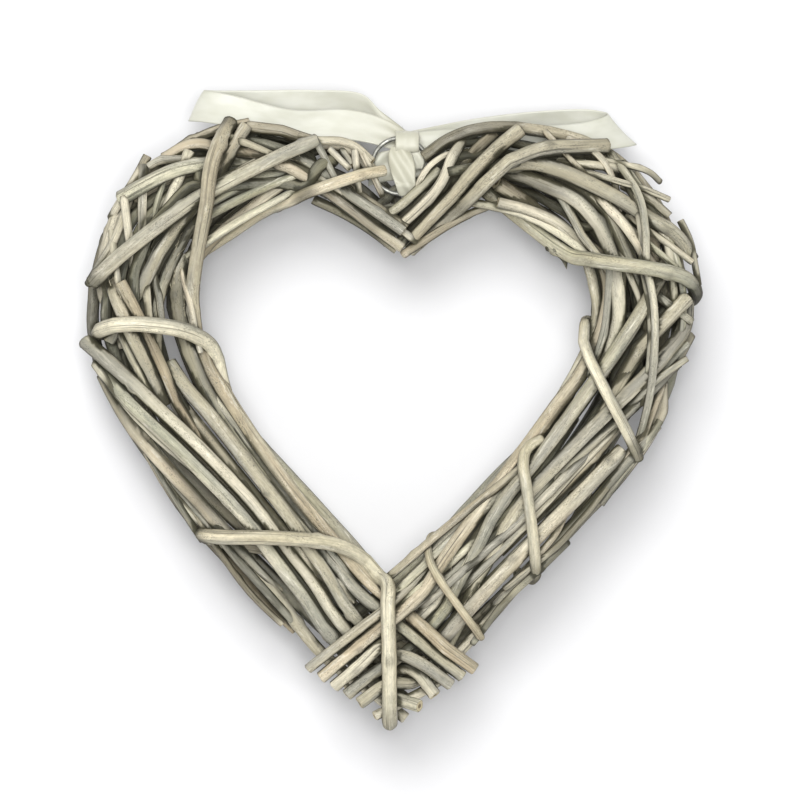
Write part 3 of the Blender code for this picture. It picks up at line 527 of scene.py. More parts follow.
# %% Cane tree: surface
GRAIN_RADIUS = 0.0035
FLAT_NOISE, RIDGE_NOISE = ((230, 230, 6), 1), ((900, 900, 30), 2)


def store(tree, shape, name, value, kind="FLOAT", **more):
    sockets = {"Geometry": shape, "Name": name, "Value": value, **more}
    return first_output(tree, "GeometryNodeStoreNamedAttribute", sockets, data_type=kind, domain="POINT")


def grain_coordinate(tree, along, around):
    """Around the cane in X and Y, along it in Z."""
    flat = vector_node(tree, "MULTIPLY", around["Around"], (GRAIN_RADIUS, GRAIN_RADIUS, 0.0))
    return vector_node(tree, "ADD", flat, join_vector(tree, {2: along["Along"]}))


def pushed_surface(tree, take, shape, grain, scar, thick):
    seeded = vector_node(tree, "ADD", grain, join_vector(tree, {0: take["Seed"], 2: take["Seed"]}))
    broad = math_node(tree, "SUBTRACT", noise(tree, seeded, *FLAT_NOISE), 0.5)
    fine = math_node(tree, "SUBTRACT", noise(tree, seeded, *RIDGE_NOISE), 0.5)
    push = math_node(tree, "MULTIPLY", broad, take["Flats"])
    push = math_node(tree, "MULTIPLY_ADD", fine, take["Ridges"], push)
    push = math_node(tree, "MULTIPLY_ADD", scar, math_node(tree, "MULTIPLY", take["Knots"], 1.2), push)
    radial = math_node(tree, "MULTIPLY", push, math_node(tree, "MULTIPLY", thick, 2.0))
    sockets = {0: first_output(tree, "GeometryNodeInputNormal"), "Scale": radial}
    shift = first_output(tree, "ShaderNodeVectorMath", sockets, operation="SCALE")
    shape = store(tree, shape, "scar", scar)
    shape = store(tree, shape, "grain", grain, "FLOAT_VECTOR")
    return first_output(tree, "GeometryNodeSetPosition", {"Geometry": shape, "Offset": shift})


print("a repeat of the flats is", round(1000 / FLAT_NOISE[0][2]), "mm long")

# %% [markdown]
# ### Where the painted shade goes
# In a bundle the light doesn't reach everywhere, so shade is painted into the colour: where canes touch,
# where others cover them, and on their sides, which face neither the front nor the back. The tree measures
# all three on each point: the distance to the nearest other cane, five rays that look for cover, and how far
# the surface faces front or back. A fourth number, the painted shade by the place in the bundle, comes with
# the path.

# %% Cane tree: painted shade
COVER_REACH = 0.022
RAY_TILTS = ((0, 0, 0), (0.9, 0, 0), (-0.9, 0, 0), (0, 0, 0.9), (0, 0, -0.9))
TOUCH_NEAR, TOUCH_FAR, TOUCH_SHADE = 0.0001, 0.0015, 0.8
DEEP_SHADE, SIDE_SHADE = 0.7, 0.62


def cane_painted_shade(tree, take):
    others = add_node(tree, "GeometryNodeObjectInfo", {"Object": take["Neighbours"]}).outputs["Geometry"]
    away = add_node(tree, "GeometryNodeProximity", {0: others}).outputs["Distance"]
    normal = first_output(tree, "GeometryNodeInputNormal")
    covered = 0.0
    # The rays look for other canes over the surface: painted shade where they are near.
    for tilt in RAY_TILTS:
        ray = add_node(tree, "GeometryNodeRaycast", {
            "Target Geometry": others, "Ray Length": COVER_REACH,
            "Ray Direction": vector_node(tree, "ADD", normal, tilt),
        }).outputs
        near = smooth_step(tree, ray["Hit Distance"], COVER_REACH, 0.002)
        near = math_node(tree, "MULTIPLY", ray["Is Hit"], near)
        covered = math_node(tree, "MULTIPLY_ADD", near, 0.2, covered)
    touching = smooth_step(tree, away, TOUCH_FAR, TOUCH_NEAR, 0.0, TOUCH_SHADE)
    stain = math_node(tree, "MAXIMUM", touching, smooth_step(tree, covered, 0.12, 0.72))
    deep = smooth_step(tree, named_attribute(tree, "deep"), 0.2, 0.9)
    stain = math_node(tree, "MULTIPLY_ADD", deep, DEEP_SHADE, stain)
    # Sides that face neither front nor back get painted shade too.
    to_front = math_node(tree, "ABSOLUTE", split_vector(tree, normal)[1])
    return math_node(tree, "MULTIPLY_ADD", smooth_step(tree, to_front, 0.62, 0.05), SIDE_SHADE, stain)


print("cover is looked for within", COVER_REACH, "m")

# %% [markdown]
# ### Cut ends, and the whole tree
# Each end face gets a worn rim, then a ring of wood around the pith: the flat end is moved a little and made
# smaller, twice. Then all the steps are joined. The tree ends in real geometry with its materials set, and
# carries the grain, tint, scar, painted shade and heart with it.

# %% Cane tree: ends, and the whole
RIM_HEIGHT, RIM_SCALE = 0.00035, 0.86
PITH_DEPTH, PITH_SCALE = -0.0001, 0.4
MOST_CORNERS_OF_A_SIDE = 5
SMOOTH_UP_TO = 0.7


def inset_end(tree, shape, chosen, height, scale):
    """Pushes the chosen faces out by a height and makes them smaller."""
    sockets = {"Mesh": shape, "Selection": chosen, "Offset Scale": height}
    pushed = add_node(tree, "GeometryNodeExtrudeMesh", sockets, mode="FACES").outputs
    sockets = {"Geometry": pushed["Mesh"], "Selection": pushed["Top"], "Scale": scale}
    return first_output(tree, "GeometryNodeScaleElements", sockets), pushed


def cut_ends(tree, shape):
    """Gives the cane with its two ends, and the faces of the cut wood."""
    corners = add_node(tree, "GeometryNodeInputMeshFaceNeighbors").outputs["Vertex Count"]
    sockets = {"A": corners, "B": MOST_CORNERS_OF_A_SIDE}
    is_end = first_output(tree, "FunctionNodeCompare", sockets, data_type="INT", operation="GREATER_THAN")
    shape, rim = inset_end(tree, shape, is_end, RIM_HEIGHT, RIM_SCALE)
    shape, pith = inset_end(tree, shape, rim["Top"], PITH_DEPTH, PITH_SCALE)
    shape = store(tree, shape, "heart", 1.0, Selection=pith["Top"])
    cut = first_output(tree, "FunctionNodeBooleanMath", {0: pith["Top"], 1: pith["Side"]}, operation="OR")
    return shape, cut


def finished_cane(tree, take, shape, cut):
    """Smooth shading between the sharp edges, real geometry, and the two materials."""
    sockets = {"A": first_output(tree, "GeometryNodeInputMeshEdgeAngle"), "B": SMOOTH_UP_TO}
    soft = first_output(tree, "FunctionNodeCompare", sockets, operation="LESS_THAN")
    sockets = {"Geometry": shape, "Shade Smooth": soft}
    shape = first_output(tree, "GeometryNodeSetShadeSmooth", sockets, domain="EDGE")
    shape = first_output(tree, "GeometryNodeRealizeInstances", {0: shape})
    shape = first_output(tree, "GeometryNodeSetMaterial", {"Geometry": shape, "Material": take["Bark"]})
    sockets = {"Geometry": shape, "Selection": cut, "Material": take["Cut face"]}
    return first_output(tree, "GeometryNodeSetMaterial", sockets)


def cane_tree():
    tree = bpy.data.node_groups.new("cane", "GeometryNodeTree")
    add_sockets(tree, "INPUT", (
        ("Path", "Geometry"), ("Ring spacing", "Float", 0.0016), ("Sides", "Int", 18),
        ("Fullness", "Float", 1.0), ("Flats", "Float", 0.10), ("Ridges", "Float", 0.035),
        ("Knots", "Float", 0.10), ("Kinks", "Float", 0.3), ("Seed", "Float", 0.0),
        ("Tint", "Vector"), ("Neighbours", "Object"), ("Bark", "Material"), ("Cut face", "Material"),
    ))
    add_sockets(tree, "OUTPUT", (("Cane", "Geometry"),))
    take = add_node(tree, "NodeGroupInput").outputs
    along, around = cane_line(tree, take), cane_circle(tree, take)
    place = math_node(tree, "MULTIPLY_ADD", take["Seed"], SEED_STEP, along["Along"])
    swelling, scar = bud_marks(tree, place, around)
    shape, thick = swept_cane(tree, take, place, along, around, swelling)
    shape = pushed_surface(tree, take, shape, grain_coordinate(tree, along, around), scar, thick)
    # The painted shade is kept on each point for the bark material.
    shape = store(tree, shape, "stain", cane_painted_shade(tree, take))
    shape, cut = cut_ends(tree, shape)
    shape = store(tree, shape, "tint", take["Tint"], "FLOAT_VECTOR")
    add_node(tree, "NodeGroupOutput", {0: finished_cane(tree, take, shape, cut)})
    return tree


cane_nodes_tree = cane_tree()
print("cane tree nodes", len(cane_nodes_tree.nodes))

# %% [markdown]
# ## Painted shade by place
# In the middle of the bundle the canes are painted darker than at its surface, as shade. Two more places look
# dark on the real wreath, where shade falls, and get painted shade here: its outer edge, and the canes beside
# the notch that lie under others. All of it is worked out from the places of the canes themselves. A point at
# the surface has its neighbours on one side, so their middle pulls away from it, and a point deep inside
# feels no pull.

# %% Painted shade by place
BUNDLE_REACH = 0.016
SURFACE_PULL = 0.0062
FEWEST_AROUND, FEWEST_BESIDE = 8, 3
LOOSE_HEIGHTS, LOOSE_SHARES = (-0.150, -0.100), (0.45, 1.0)
EDGE_PULL = 0.0065
EDGE_HEIGHTS = (-0.232, -0.220, -0.145, -0.120)
EDGE_SHADE = (0.0, 1.7, 1.7, 1.0)
LOBE_X, LOBE_Z = 0.0565, -0.0643
NOTCH_BOTTOM = -0.060
NOTCH_SIDES = (0.004, 0.012, 0.044, 0.056)
NOTCH_SHADE = (0.0, 1.6, 1.6, 0.0)


def even_path(points, radii, spacing=0.006):
    points = np.array([tuple(p) for p in points])
    along = np.concatenate([[0.0], np.cumsum(np.linalg.norm(np.diff(points, axis=0), axis=1))])
    steps = np.linspace(0.0, along[-1], max(4, int(along[-1] / spacing)))
    places = np.stack([np.interp(steps, along, points[:, axis]) for axis in range(3)], 1)
    return places, np.interp(steps, along, radii), along[-1]


all_places = np.concatenate([even_path(*paths[node])[0] for node in cane_nodes])


def covered_share(point):
    """0 at the surface of the bundle, and 1 in its middle."""
    near = all_places[np.linalg.norm(all_places - np.array(point), axis=1) < BUNDLE_REACH]
    if len(near) < FEWEST_AROUND:
        return 0.0
    pull = np.linalg.norm(near.mean(0) - np.array(point))
    return float(1.0 - min(1.0, pull / SURFACE_PULL))


def edge_shade(point):
    """The added painted shade on the outer edge and under the canes beside the notch."""
    point = np.array(point)
    near = all_places[np.linalg.norm(all_places - point, axis=1) < BUNDLE_REACH]
    if len(near) < FEWEST_BESIDE:
        return 0.0
    side = math.copysign(1.0, point[0])
    inward = np.array((side * LOBE_X - point[0], 0.0, LOBE_Z - point[2]))
    if point[2] < LOBE_Z:
        inward = np.array((-side, 0.0, 1.0))
    inward /= np.linalg.norm(inward)
    pull = (near.mean(0) - point) / EDGE_PULL
    outside = np.clip(pull @ inward, 0.0, 1.0) ** 2 * np.interp(point[2], EDGE_HEIGHTS, EDGE_SHADE)
    below = np.clip(pull[2], 0.0, 1.0) ** 2 * np.interp(abs(point[0]), NOTCH_SIDES, NOTCH_SHADE)
    return float(outside + below * (point[2] > NOTCH_BOTTOM))


def shade_by_place(point, added):
    """All the painted shade of a place. The loose lower bands let light in, so depth counts less there."""
    loose = np.interp(point[2], LOOSE_HEIGHTS, LOOSE_SHARES)
    return loose * (covered_share(point) + added) + edge_shade(point)


print("places along the canes", len(all_places))

# %% [markdown]
# ## Growing a cane
# A path becomes a thin line of points that carries its thickness and the painted shade of its place in the
# bundle.
# The tree turns the line into a cane, and the result is kept as a plain mesh. The other canes
# are handed to the tree as one hidden helper made of their CAD rods, which is removed again.

# %% Grow one cane
PLAIN_SPACING, FINE_SPACING = 0.0022, 0.0015
PLAIN_SIDES, FINE_SIDES = 14, 18
SEED_PER_CANE = 1.37
FULLNESS = 1.02
BINDING_FLATS, BINDING_RIDGES = 0.18, 0.075
WILLOW_FLATS, WILLOW_RIDGES = 0.26, 0.065


def path_object(name, points, radii, added=0.0):
    mesh = bpy.data.meshes.new(name)
    mesh.from_pydata(points, [(i, i + 1) for i in range(len(points) - 1)], [])
    mesh.attributes.new("thick", "FLOAT", "POINT").data.foreach_set("value", radii)
    # The painted shade of each place is kept under the name deep.
    deep = [shade_by_place(point, added) for point in points]
    mesh.attributes.new("deep", "FLOAT", "POINT").data.foreach_set("value", deep)
    return new_object(name, mesh)


def as_plain_mesh(piece, modifier):
    """Keeps what a modifier makes of a piece as the piece's own mesh."""
    depsgraph = bpy.context.evaluated_depsgraph_get()
    mesh = bpy.data.meshes.new_from_object(piece.evaluated_get(depsgraph), depsgraph=depsgraph)
    piece.modifiers.remove(modifier)
    piece.data = mesh
    return piece


def grow(piece, settings):
    """Runs the cane tree on a path."""
    modifier = piece.modifiers.new("grow", "NODES")
    modifier.node_group = cane_nodes_tree
    inputs = (item for item in cane_nodes_tree.interface.items_tree if item.in_out == "INPUT")
    identifiers = {item.name: item.identifier for item in inputs}
    for name, value in settings.items():
        modifier[identifiers[name]] = value
    return as_plain_mesh(piece, modifier)


def cane_settings(number, tint, neighbours, hidden=False, binding=False):
    """What the tree needs for one cane. Its number gives it bark of its own."""
    return {
        "Ring spacing": PLAIN_SPACING if hidden else FINE_SPACING,
        "Sides": PLAIN_SIDES if hidden else FINE_SIDES,
        "Seed": number * SEED_PER_CANE,
        "Fullness": FULLNESS,
        "Flats": BINDING_FLATS if binding else WILLOW_FLATS,
        "Ridges": BINDING_RIDGES if binding else WILLOW_RIDGES,
        "Tint": [float(v) for v in tint],
        "Neighbours": neighbours,
        "Bark": binding_willow if binding else greywashed_willow,
        "Cut face": cut_willow_end,
    }


def rod_arrays(node):
    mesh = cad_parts[node].data
    return [tuple(v.co) for v in mesh.vertices], [tuple(f.vertices) for f in mesh.polygons]


rods = {node: rod_arrays(node) for node in cane_nodes}


def joined_rods(nodes):
    """One hidden helper object made of the CAD rods of many canes."""
    corners, faces = [], []
    for node in nodes:
        rod_corners, rod_faces = rods[node]
        faces += [tuple(index + len(corners) for index in face) for face in rod_faces]
        corners += rod_corners
    mesh = bpy.data.meshes.new("neighbours")
    mesh.from_pydata(corners, [], faces)
    return new_object("neighbours", mesh)


def remove_helper(helper):
    mesh = helper.data
    bpy.data.objects.remove(helper, do_unlink=True)
    bpy.data.meshes.remove(mesh)


print("CAD rods", len(rods), "with", sum(len(corners) for corners, _ in rods.values()), "corners")

# %% [markdown]
# ## The long canes
# Each grown cane replaces its CAD rod. The canes at the back and in the core are plainer, and darker with
# painted shade. Random numbers come from one seeded generator, so every run gives the same wreath.

# %% Grow the long canes
CHANCE_SEED = 11
# Back and core canes get a darker, greyer tint and more painted shade.
HIDDEN_SHADE_TINT, HIDDEN_TINT_SPREAD = np.array((-0.9, 0.7, 1.6)), 0.6
HIDDEN_SHADE = 0.35


def finish_piece(piece, slot, *nodes):
    """Hides the CAD nodes that the piece stands for and puts it on the root body. The slot is not used."""
    if nodes:
        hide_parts(*nodes)
    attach(piece, "root")
    return piece


def triangle_count(piece):
    return sum(len(f.vertices) - 2 for f in piece.data.polygons)


chance = np.random.default_rng(CHANCE_SEED)
triangles = 0
for number, node in enumerate(cane_nodes):
    points, radii = paths[node]
    binding = node.startswith("binding")
    hidden = node.startswith(("back", "core"))
    tint = chance.uniform(-1.0, 1.0, 3)
    if hidden:
        tint = tint * HIDDEN_TINT_SPREAD + HIDDEN_SHADE_TINT
    helper = joined_rods([other for other in cane_nodes if other != node])
    piece = path_object(node.replace("cane", "willow"), points, radii, HIDDEN_SHADE if hidden else 0.0)
    grow(piece, cane_settings(number, tint, helper, hidden, binding))
    remove_helper(helper)
    finish_piece(piece, "binding_willow" if binding else "greywashed_willow", node)
    triangles += triangle_count(piece)
print("willow triangles", triangles)

# %% [markdown]
# ## Thin canes tucked between the long ones
# A real wreath is padded out with thinner canes that lie tight against the long ones. A rule places them:
# each follows a stretch of one long cane, touching it from the side that looks towards the middle of the
# bundle, and slides from beside it to behind it. Some are deeper and painted dark as shade, which closes the
# bundle to the eye.

# %% Path of a tucked cane
BAND_REACH = 0.034
TUCKED_TAPER = 0.2
OPEN_BELOW = -0.105
OPEN_EDGE = 0.30
BACKWARD = np.array((0.0, 1.0, 0.0))


def tucked_cane(node, share, length, thickness, first_turn, last_turn, gap):
    """A thin cane that touches a long one, turning around it from one angle to another."""
    places, thick, total = even_path(*paths[node])
    count = len(places)
    first = int(share * max(1, count - length / total * count))
    last = min(count, first + max(4, int(length / total * count)))
    found = []
    for k in range(first, last):
        ahead = places[min(k + 1, count - 1)] - places[max(k - 1, 0)]
        ahead /= np.linalg.norm(ahead)
        near = all_places[np.linalg.norm(all_places - places[k], axis=1) < BAND_REACH]
        inward = near.mean(0) - places[k]
        inward[1] = 0.0
        inward -= ahead * (inward @ ahead)
        inward /= max(1e-6, np.linalg.norm(inward))
        t = (k - first) / max(1, last - 1 - first)
        turn = math.radians(first_turn + (last_turn - first_turn) * t)
        offset = (thick[k] + thickness + gap) * (math.cos(turn) * inward + math.sin(turn) * BACKWARD)
        found.append(tuple(places[k] + offset))
    return found, [thickness * (1.0 - TUCKED_TAPER * k / len(found)) for k in range(len(found))]


def closes_a_gap(points):
    """A deep cane in a lower band, or by the edge of the bundle, would close the gaps seen there."""
    low = min(point[2] for point in points) < OPEN_BELOW
    return low or np.mean([covered_share(point) for point in points]) < OPEN_EDGE


print("band reach", BAND_REACH, "m, open below", OPEN_BELOW, "m")

# %% [markdown]
# In each half there is one thin cane at the front for every long front cane, and two deep ones
# where they leave the gaps open. Eight more turn around the core, above the open bands. The
# canes of a kind are joined to one piece for each half.

# %% Grow the tucked canes
TUCKED_LENGTHS = (0.045, 0.150)
TUCKED_RADII = (0.0015, 0.0026)
FRONT_TURNS, DEEP_TURNS = (40.0, 75.0), (60.0, 95.0)
DEEP_GAP = 0.006
# The deep tint and the added numbers are painted shade on the tucked canes.
FRONT_TINT, DEEP_SHADE_TINT = np.array((-0.2, 0.3, 0.4)), np.array((-1.2, 0.9, 2.2))
FRONT_SHADE_ADDED, DEEP_SHADE_ADDED, CORE_SHADE_ADDED = 0.2, 0.6, 0.7
CORE_FILLERS, CORE_FILLER_RADIUS = 8, 0.0030
CORE_STEP, CORE_TURN = 45, 150
CORE_GAP, CORE_GAP_MORE = 0.002, 0.004


def join_pieces(name, pieces):
    """Joins finished canes to one piece."""
    mesh = bmesh.new()
    for piece in pieces:
        mesh.from_mesh(piece.data)
    data = bpy.data.meshes.new(name)
    mesh.to_mesh(data)
    mesh.free()
    for material in pieces[0].data.materials:
        data.materials.append(material)
    for piece in pieces:
        remove_helper(piece)
    return new_object(name, data)


def core_filler(side, k):
    """A deep cane that turns around the core, cut off where the open band begins."""
    turn = CORE_STEP * k
    points, radii = tucked_cane(f"core_cane_{side}_01", 0.0, 1.0, CORE_FILLER_RADIUS, turn, turn + CORE_TURN,
                                CORE_GAP + CORE_GAP_MORE * (k % 2))
    upper = [index for index, point in enumerate(points) if point[2] > OPEN_BELOW]
    return [points[index] for index in upper], [radii[index] for index in upper]


front_nodes = [node for node in cane_nodes if node.startswith("front")]
everything = joined_rods(cane_nodes)
triangles = 0
for bundle, (side, deep) in enumerate((s, d) for s in ("left", "right") for d in (False, True)):
    grown = []
    for node in (n for n in front_nodes if side in n for _ in range(2 if deep else 1)):
        length = chance.uniform(*TUCKED_LENGTHS)
        thickness = chance.uniform(*TUCKED_RADII)
        turns = chance.uniform(*(DEEP_TURNS if deep else FRONT_TURNS), 2)
        share = chance.uniform(0.0, 1.0)
        points, radii = tucked_cane(node, share, length, thickness, *turns, DEEP_GAP if deep else 0.0)
        if deep and closes_a_gap(points):
            continue
        tint = chance.uniform(-1.0, 1.0, 3) + (DEEP_SHADE_TINT if deep else FRONT_TINT)
        line = path_object("tucked", points, radii, DEEP_SHADE_ADDED if deep else FRONT_SHADE_ADDED)
        seed_number = 100 * bundle + 7 * len(grown) + 1
        grown.append(grow(line, cane_settings(seed_number, tint, everything, hidden=True)))
    for k in range(CORE_FILLERS if deep else 0):
        line = path_object("tucked", *core_filler(side, k), CORE_SHADE_ADDED)
        grown.append(grow(line, cane_settings(50 + k, DEEP_SHADE_TINT, everything, hidden=True)))
    piece = join_pieces(f"tucked_willow_{side}_{'deep' if deep else 'front'}", grown)
    finish_piece(piece, "greywashed_willow")
    triangles += triangle_count(piece)
print("thin cane triangles", triangles)

# %% [markdown]
# ## Short canes that show on the front
# Between the long canes the real wreath shows many short, slender ones. They were read off the photograph:
# each row is a radius, how deep the cane lies (0 at the front of the bundle, 1 near its middle), and the
# pixels it passes. One dark split end hangs out under the right lobe.

# %% Short canes as seen
PIXEL = 0.000491
RING_PIXEL = (400, 166)
THIN, SLIM, STOUT = 0.0018, 0.0023, 0.0030
SPLIT_END = ((548, 247), (557, 251), (563, 257), (566, 269))
SPLIT_RADII = (0.0022, 0.0024, 0.0020, 0.0002)
SHORT_LEFT = (
    (SLIM, 0.30, ((112, 385), (130, 408), (150, 430), (190, 465))),
    (SLIM, 0.25, ((150, 168), (162, 161), (182, 160))),
    (THIN, 0.15, ((243, 143), (260, 150), (275, 157))),
    (SLIM, 0.25, ((322, 142), (340, 140), (355, 147), (372, 162))),
    (THIN, 0.20, ((314, 138), (322, 152), (335, 179))),
    (THIN, 0.35, ((330, 150), (350, 170))),
    (THIN, 0.40, ((342, 150), (352, 165))),
    (THIN, 0.35, ((355, 152), (357, 172))),
    (THIN, 0.40, ((363, 155), (371, 172))),
    (SLIM, 0.40, ((205, 245), (230, 228), (255, 212), (290, 194))),
    (THIN, 0.50, ((350, 190), (360, 208), (375, 225), (403, 248))),
    (SLIM, 0.85, ((314, 200), (340, 212), (366, 227), (396, 250))),
    (SLIM, 0.40, ((125, 198), (128, 222), (133, 255), (137, 284))),
    (SLIM, 0.45, ((144, 165), (143, 195), (143, 224))),
    (THIN, 0.45, ((166, 178), (160, 195), (157, 210))),
    (STOUT, 0.35, ((190, 152), (181, 175), (170, 204))),
    (THIN, 0.30, ((116, 258), (119, 280), (122, 294))),
    (SLIM, 0.55, ((141, 248), (146, 280), (149, 300), (152, 345), (150, 400))),
    (SLIM, 0.50, ((148, 250), (156, 280), (161, 300), (163, 322))),
    (THIN, 0.30, ((185, 282), (190, 300), (196, 328))),
    (SLIM, 0.35, ((268, 158), (295, 168), (332, 186), (375, 212), (400, 230))),
    (SLIM, 0.50, ((103, 262), (118, 238), (126, 212))),
    (SLIM, 0.50, ((148, 157), (138, 176), (125, 196))),
    (SLIM, 0.45, ((232, 205), (262, 190), (292, 178))),
    (SLIM, 0.60, ((225, 196), (250, 182), (285, 172))),
    (SLIM, 0.55, ((165, 470), (196, 506), (236, 556), (280, 606))),
    (SLIM, 0.50, ((150, 440), (180, 480), (222, 530), (262, 572))),
    (STOUT, 0.45, ((196, 420), (236, 470), (280, 524), (316, 566))),
    (SLIM, 0.45, ((212, 395), (250, 448), (300, 512), (338, 560))),
    (SLIM, 0.40, ((130, 350), (150, 392), (170, 430))),
    (THIN, 0.50, ((142, 440), (163, 478), (188, 518))),
    (THIN, 0.60, ((160, 458), (170, 488), (192, 514))),
    (THIN, 0.55, ((198, 516), (224, 558), (254, 598), (282, 624))),
)
SHORT_RIGHT = (
    (THIN, 0.15, ((422, 178), (424, 168), (430, 161), (442, 158))),
    (SLIM, 0.85, ((426, 240), (448, 226), (470, 214), (498, 203))),
    (SLIM, 0.40, ((555, 190), (566, 207), (581, 236), (597, 257))),
    (STOUT, 0.30, ((604, 206), (622, 225), (638, 248))),
    (THIN, 0.20, ((590, 152), (601, 158), (610, 172), (613, 186))),
    (THIN, 0.25, ((562, 153), (575, 168), (588, 180))),
    (SLIM, 0.30, ((578, 165), (606, 168))),
    (THIN, 0.10, ((598, 178), (625, 186), (650, 193), (667, 201))),
    (THIN, 0.20, ((626, 167), (645, 172), (659, 182))),
    (SLIM, 0.30, ((645, 200), (655, 206), (667, 217))),
    (THIN, 0.35, ((648, 232), (662, 243), (676, 250), (690, 263))),
    (THIN, 0.40, ((649, 247), (664, 260))),
    (THIN, 0.35, ((679, 222), (688, 240), (692, 260))),
    (SLIM, 0.40, ((608, 238), (610, 270), (608, 300), (603, 335), (597, 352))),
    (THIN, 0.40, ((622, 275), (621, 300), (618, 325), (612, 350))),
    (THIN, 0.35, ((629, 278), (638, 300), (643, 322))),
    (SLIM, 0.40, ((658, 298), (674, 310), (690, 322))),
    (THIN, 0.35, ((686, 344), (672, 357), (658, 372))),
    (STOUT, 0.40, ((644, 346), (626, 372), (610, 400), (590, 430))),
    (THIN, 0.25, ((638, 397), (650, 385), (665, 372), (685, 359))),
    (SLIM, 0.25, ((518, 470), (490, 492), (440, 532), (402, 565))),
    (SLIM, 0.30, ((517, 480), (490, 505), (450, 540), (408, 580))),
    (SLIM, 0.35, ((560, 440), (520, 500), (480, 537), (412, 594))),
    (SLIM, 0.35, ((560, 470), (520, 512), (480, 548), (418, 602))),
    (SLIM, 0.40, ((590, 450), (550, 490), (520, 520), (440, 590))),
    (SLIM, 0.50, ((612, 430), (575, 470), (530, 520), (470, 580))),
    (SLIM, 0.50, ((640, 446), (600, 494), (560, 536), (512, 586))),
    (SLIM, 0.55, ((655, 400), (640, 440), (610, 480), (575, 520))),
    (THIN, 0.45, ((662, 225), (676, 262), (683, 300), (680, 340))),
    (SLIM, 0.50, ((636, 186), (655, 215), (668, 250), (672, 290))),
    (SLIM, 0.45, ((480, 205), (515, 212), (548, 226), (575, 246))),
    (THIN, 0.60, ((659, 421), (643, 446), (624, 472), (601, 504))),
    (THIN, 0.55, ((596, 474), (584, 502), (565, 533))),
    (THIN, 0.30, ((612, 480), (589, 510), (556, 546), (504, 588))),
    (THIN, 0.60, ((566, 508), (557, 530), (537, 555))),
    (THIN, 0.50, ((548, 560), (527, 580), (506, 598), (488, 622))),
)
print("short canes", len(SHORT_LEFT), "on the left,", len(SHORT_RIGHT), "on the right")

# %% [markdown]
# The bundle's own canes give the depth behind each pixel, so a short cane lies among them from
# every side. It is evened out so that it stays stiff, and its ends go on a little and slip
# under the other canes, unless that would take them outside the band.

# %% Path of a short cane
SHALLOWER = 0.45
DEPTH_REACH, FEWEST_NEAR = 0.013, 7
SLIP_REACH, SLIP_DEPTH, SLIP_INSIDE = 0.013, 0.0075, 0.0035
SHORT_SPACING, SHORT_TAPER = 0.010, 0.15


def across_and_up(pixel):
    """X and Z of a pixel of the photograph. The ring's middle is the origin."""
    return (pixel[0] - RING_PIXEL[0]) * PIXEL, (RING_PIXEL[1] - pixel[1]) * PIXEL


def bundle_place(pixel, depth):
    """The point of the bundle behind a pixel of the photograph."""
    x, z = across_and_up(pixel)
    away = np.hypot(all_places[:, 0] - x, all_places[:, 2] - z)
    near = all_places[away < max(DEPTH_REACH, np.sort(away)[FEWEST_NEAR - 1]), 1]
    return x, near.min() + SHALLOWER * depth * (near.max() - near.min()), z


def slipped_end(before, end):
    """The added end point behind the other canes, or nothing where that is outside the band."""
    ahead = (end - before) / np.linalg.norm(end - before)
    further = end + ahead * SLIP_REACH
    away = np.hypot(all_places[:, 0] - further[0], all_places[:, 2] - further[2]).min()
    return [further + SLIP_DEPTH * BACKWARD] if away < SLIP_INSIDE else []


def short_cane(radius, depth, pixels):
    chosen = np.array([bundle_place(pixel, depth) for pixel in pixels])
    chosen[:, 1] = 0.5 * chosen[:, 1] + 0.5 * chosen[:, 1].mean()
    chosen = np.array(slipped_end(chosen[1], chosen[0]) + list(chosen) + slipped_end(chosen[-2], chosen[-1]))
    places, _, _ = even_path(chosen, [radius] * len(chosen), SHORT_SPACING)
    return places, [radius * (1.0 - SHORT_TAPER * k / len(places)) for k in range(len(places))]


print("the depth of the bundle is looked for within", DEPTH_REACH, "m")

# %% [markdown]
# They are grown like the thin canes, and joined to one piece for each half. A deeper one gets more painted
# shade, and one at the front gets less.

# %% Grow the short canes
# A deeper short cane gets a darker tint and more painted shade; the split end gets the most.
SHORT_TINT, DEEPER_SHADE_TINT = np.array((0.2, 0.2, 0.0)), np.array((0.0, 0.0, 1.2))
EVEN_DEPTH = 0.55
SPLIT_DEPTH, SPLIT_SHADE, SPLIT_TINT = 0.8, 1.2, (-1.5, 0.5, -1.0)

for side, rows in (("left", SHORT_LEFT), ("right", SHORT_RIGHT)):
    grown = []
    for number, row in enumerate(rows):
        points, radii = short_cane(*row)
        tint = chance.uniform(-1.0, 1.0, 3) + (SHORT_TINT + row[1] * DEEPER_SHADE_TINT)
        line = path_object("short", points, radii, row[1] - EVEN_DEPTH)
        grown.append(grow(line, cane_settings(300 + 11 * number, tint, everything, hidden=True)))
    if side == "right":
        line = path_object("split", [bundle_place(pixel, SPLIT_DEPTH) for pixel in SPLIT_END], SPLIT_RADII,
                           SPLIT_SHADE)
        grown.append(grow(line, cane_settings(900, SPLIT_TINT, everything, hidden=True)))
    piece = finish_piece(join_pieces(f"short_willow_{side}", grown), "greywashed_willow")
    print("short cane triangles", side, triangle_count(piece))
remove_helper(everything)

# %% [markdown]
# ## Frayed fibres
# Worn willow sheds fine bark fibres. Each one is a thin tube that narrows to a point. It starts
# on the side of a long cane and curls away from it. The seeded generator scatters them around
# the spots where the photograph shows the most fraying.

# %% Shape of a fibre
FIBRE_SIDES = 5
FIBRE_TAPER = 0.9
FIBRE_POINTS = 8
FIBRE_RADII = (0.00012, 0.00024)
FIBRE_REACHES, FIBRE_LIFTS = (0.006, 0.015), (0.15, 0.4)
FIBRE_TURN, FIBRE_SLIDE, FIBRE_SINK = 1.2, 0.012, 0.95
OFF_AXIS = Vector((0.3, 0.9, 0.2))


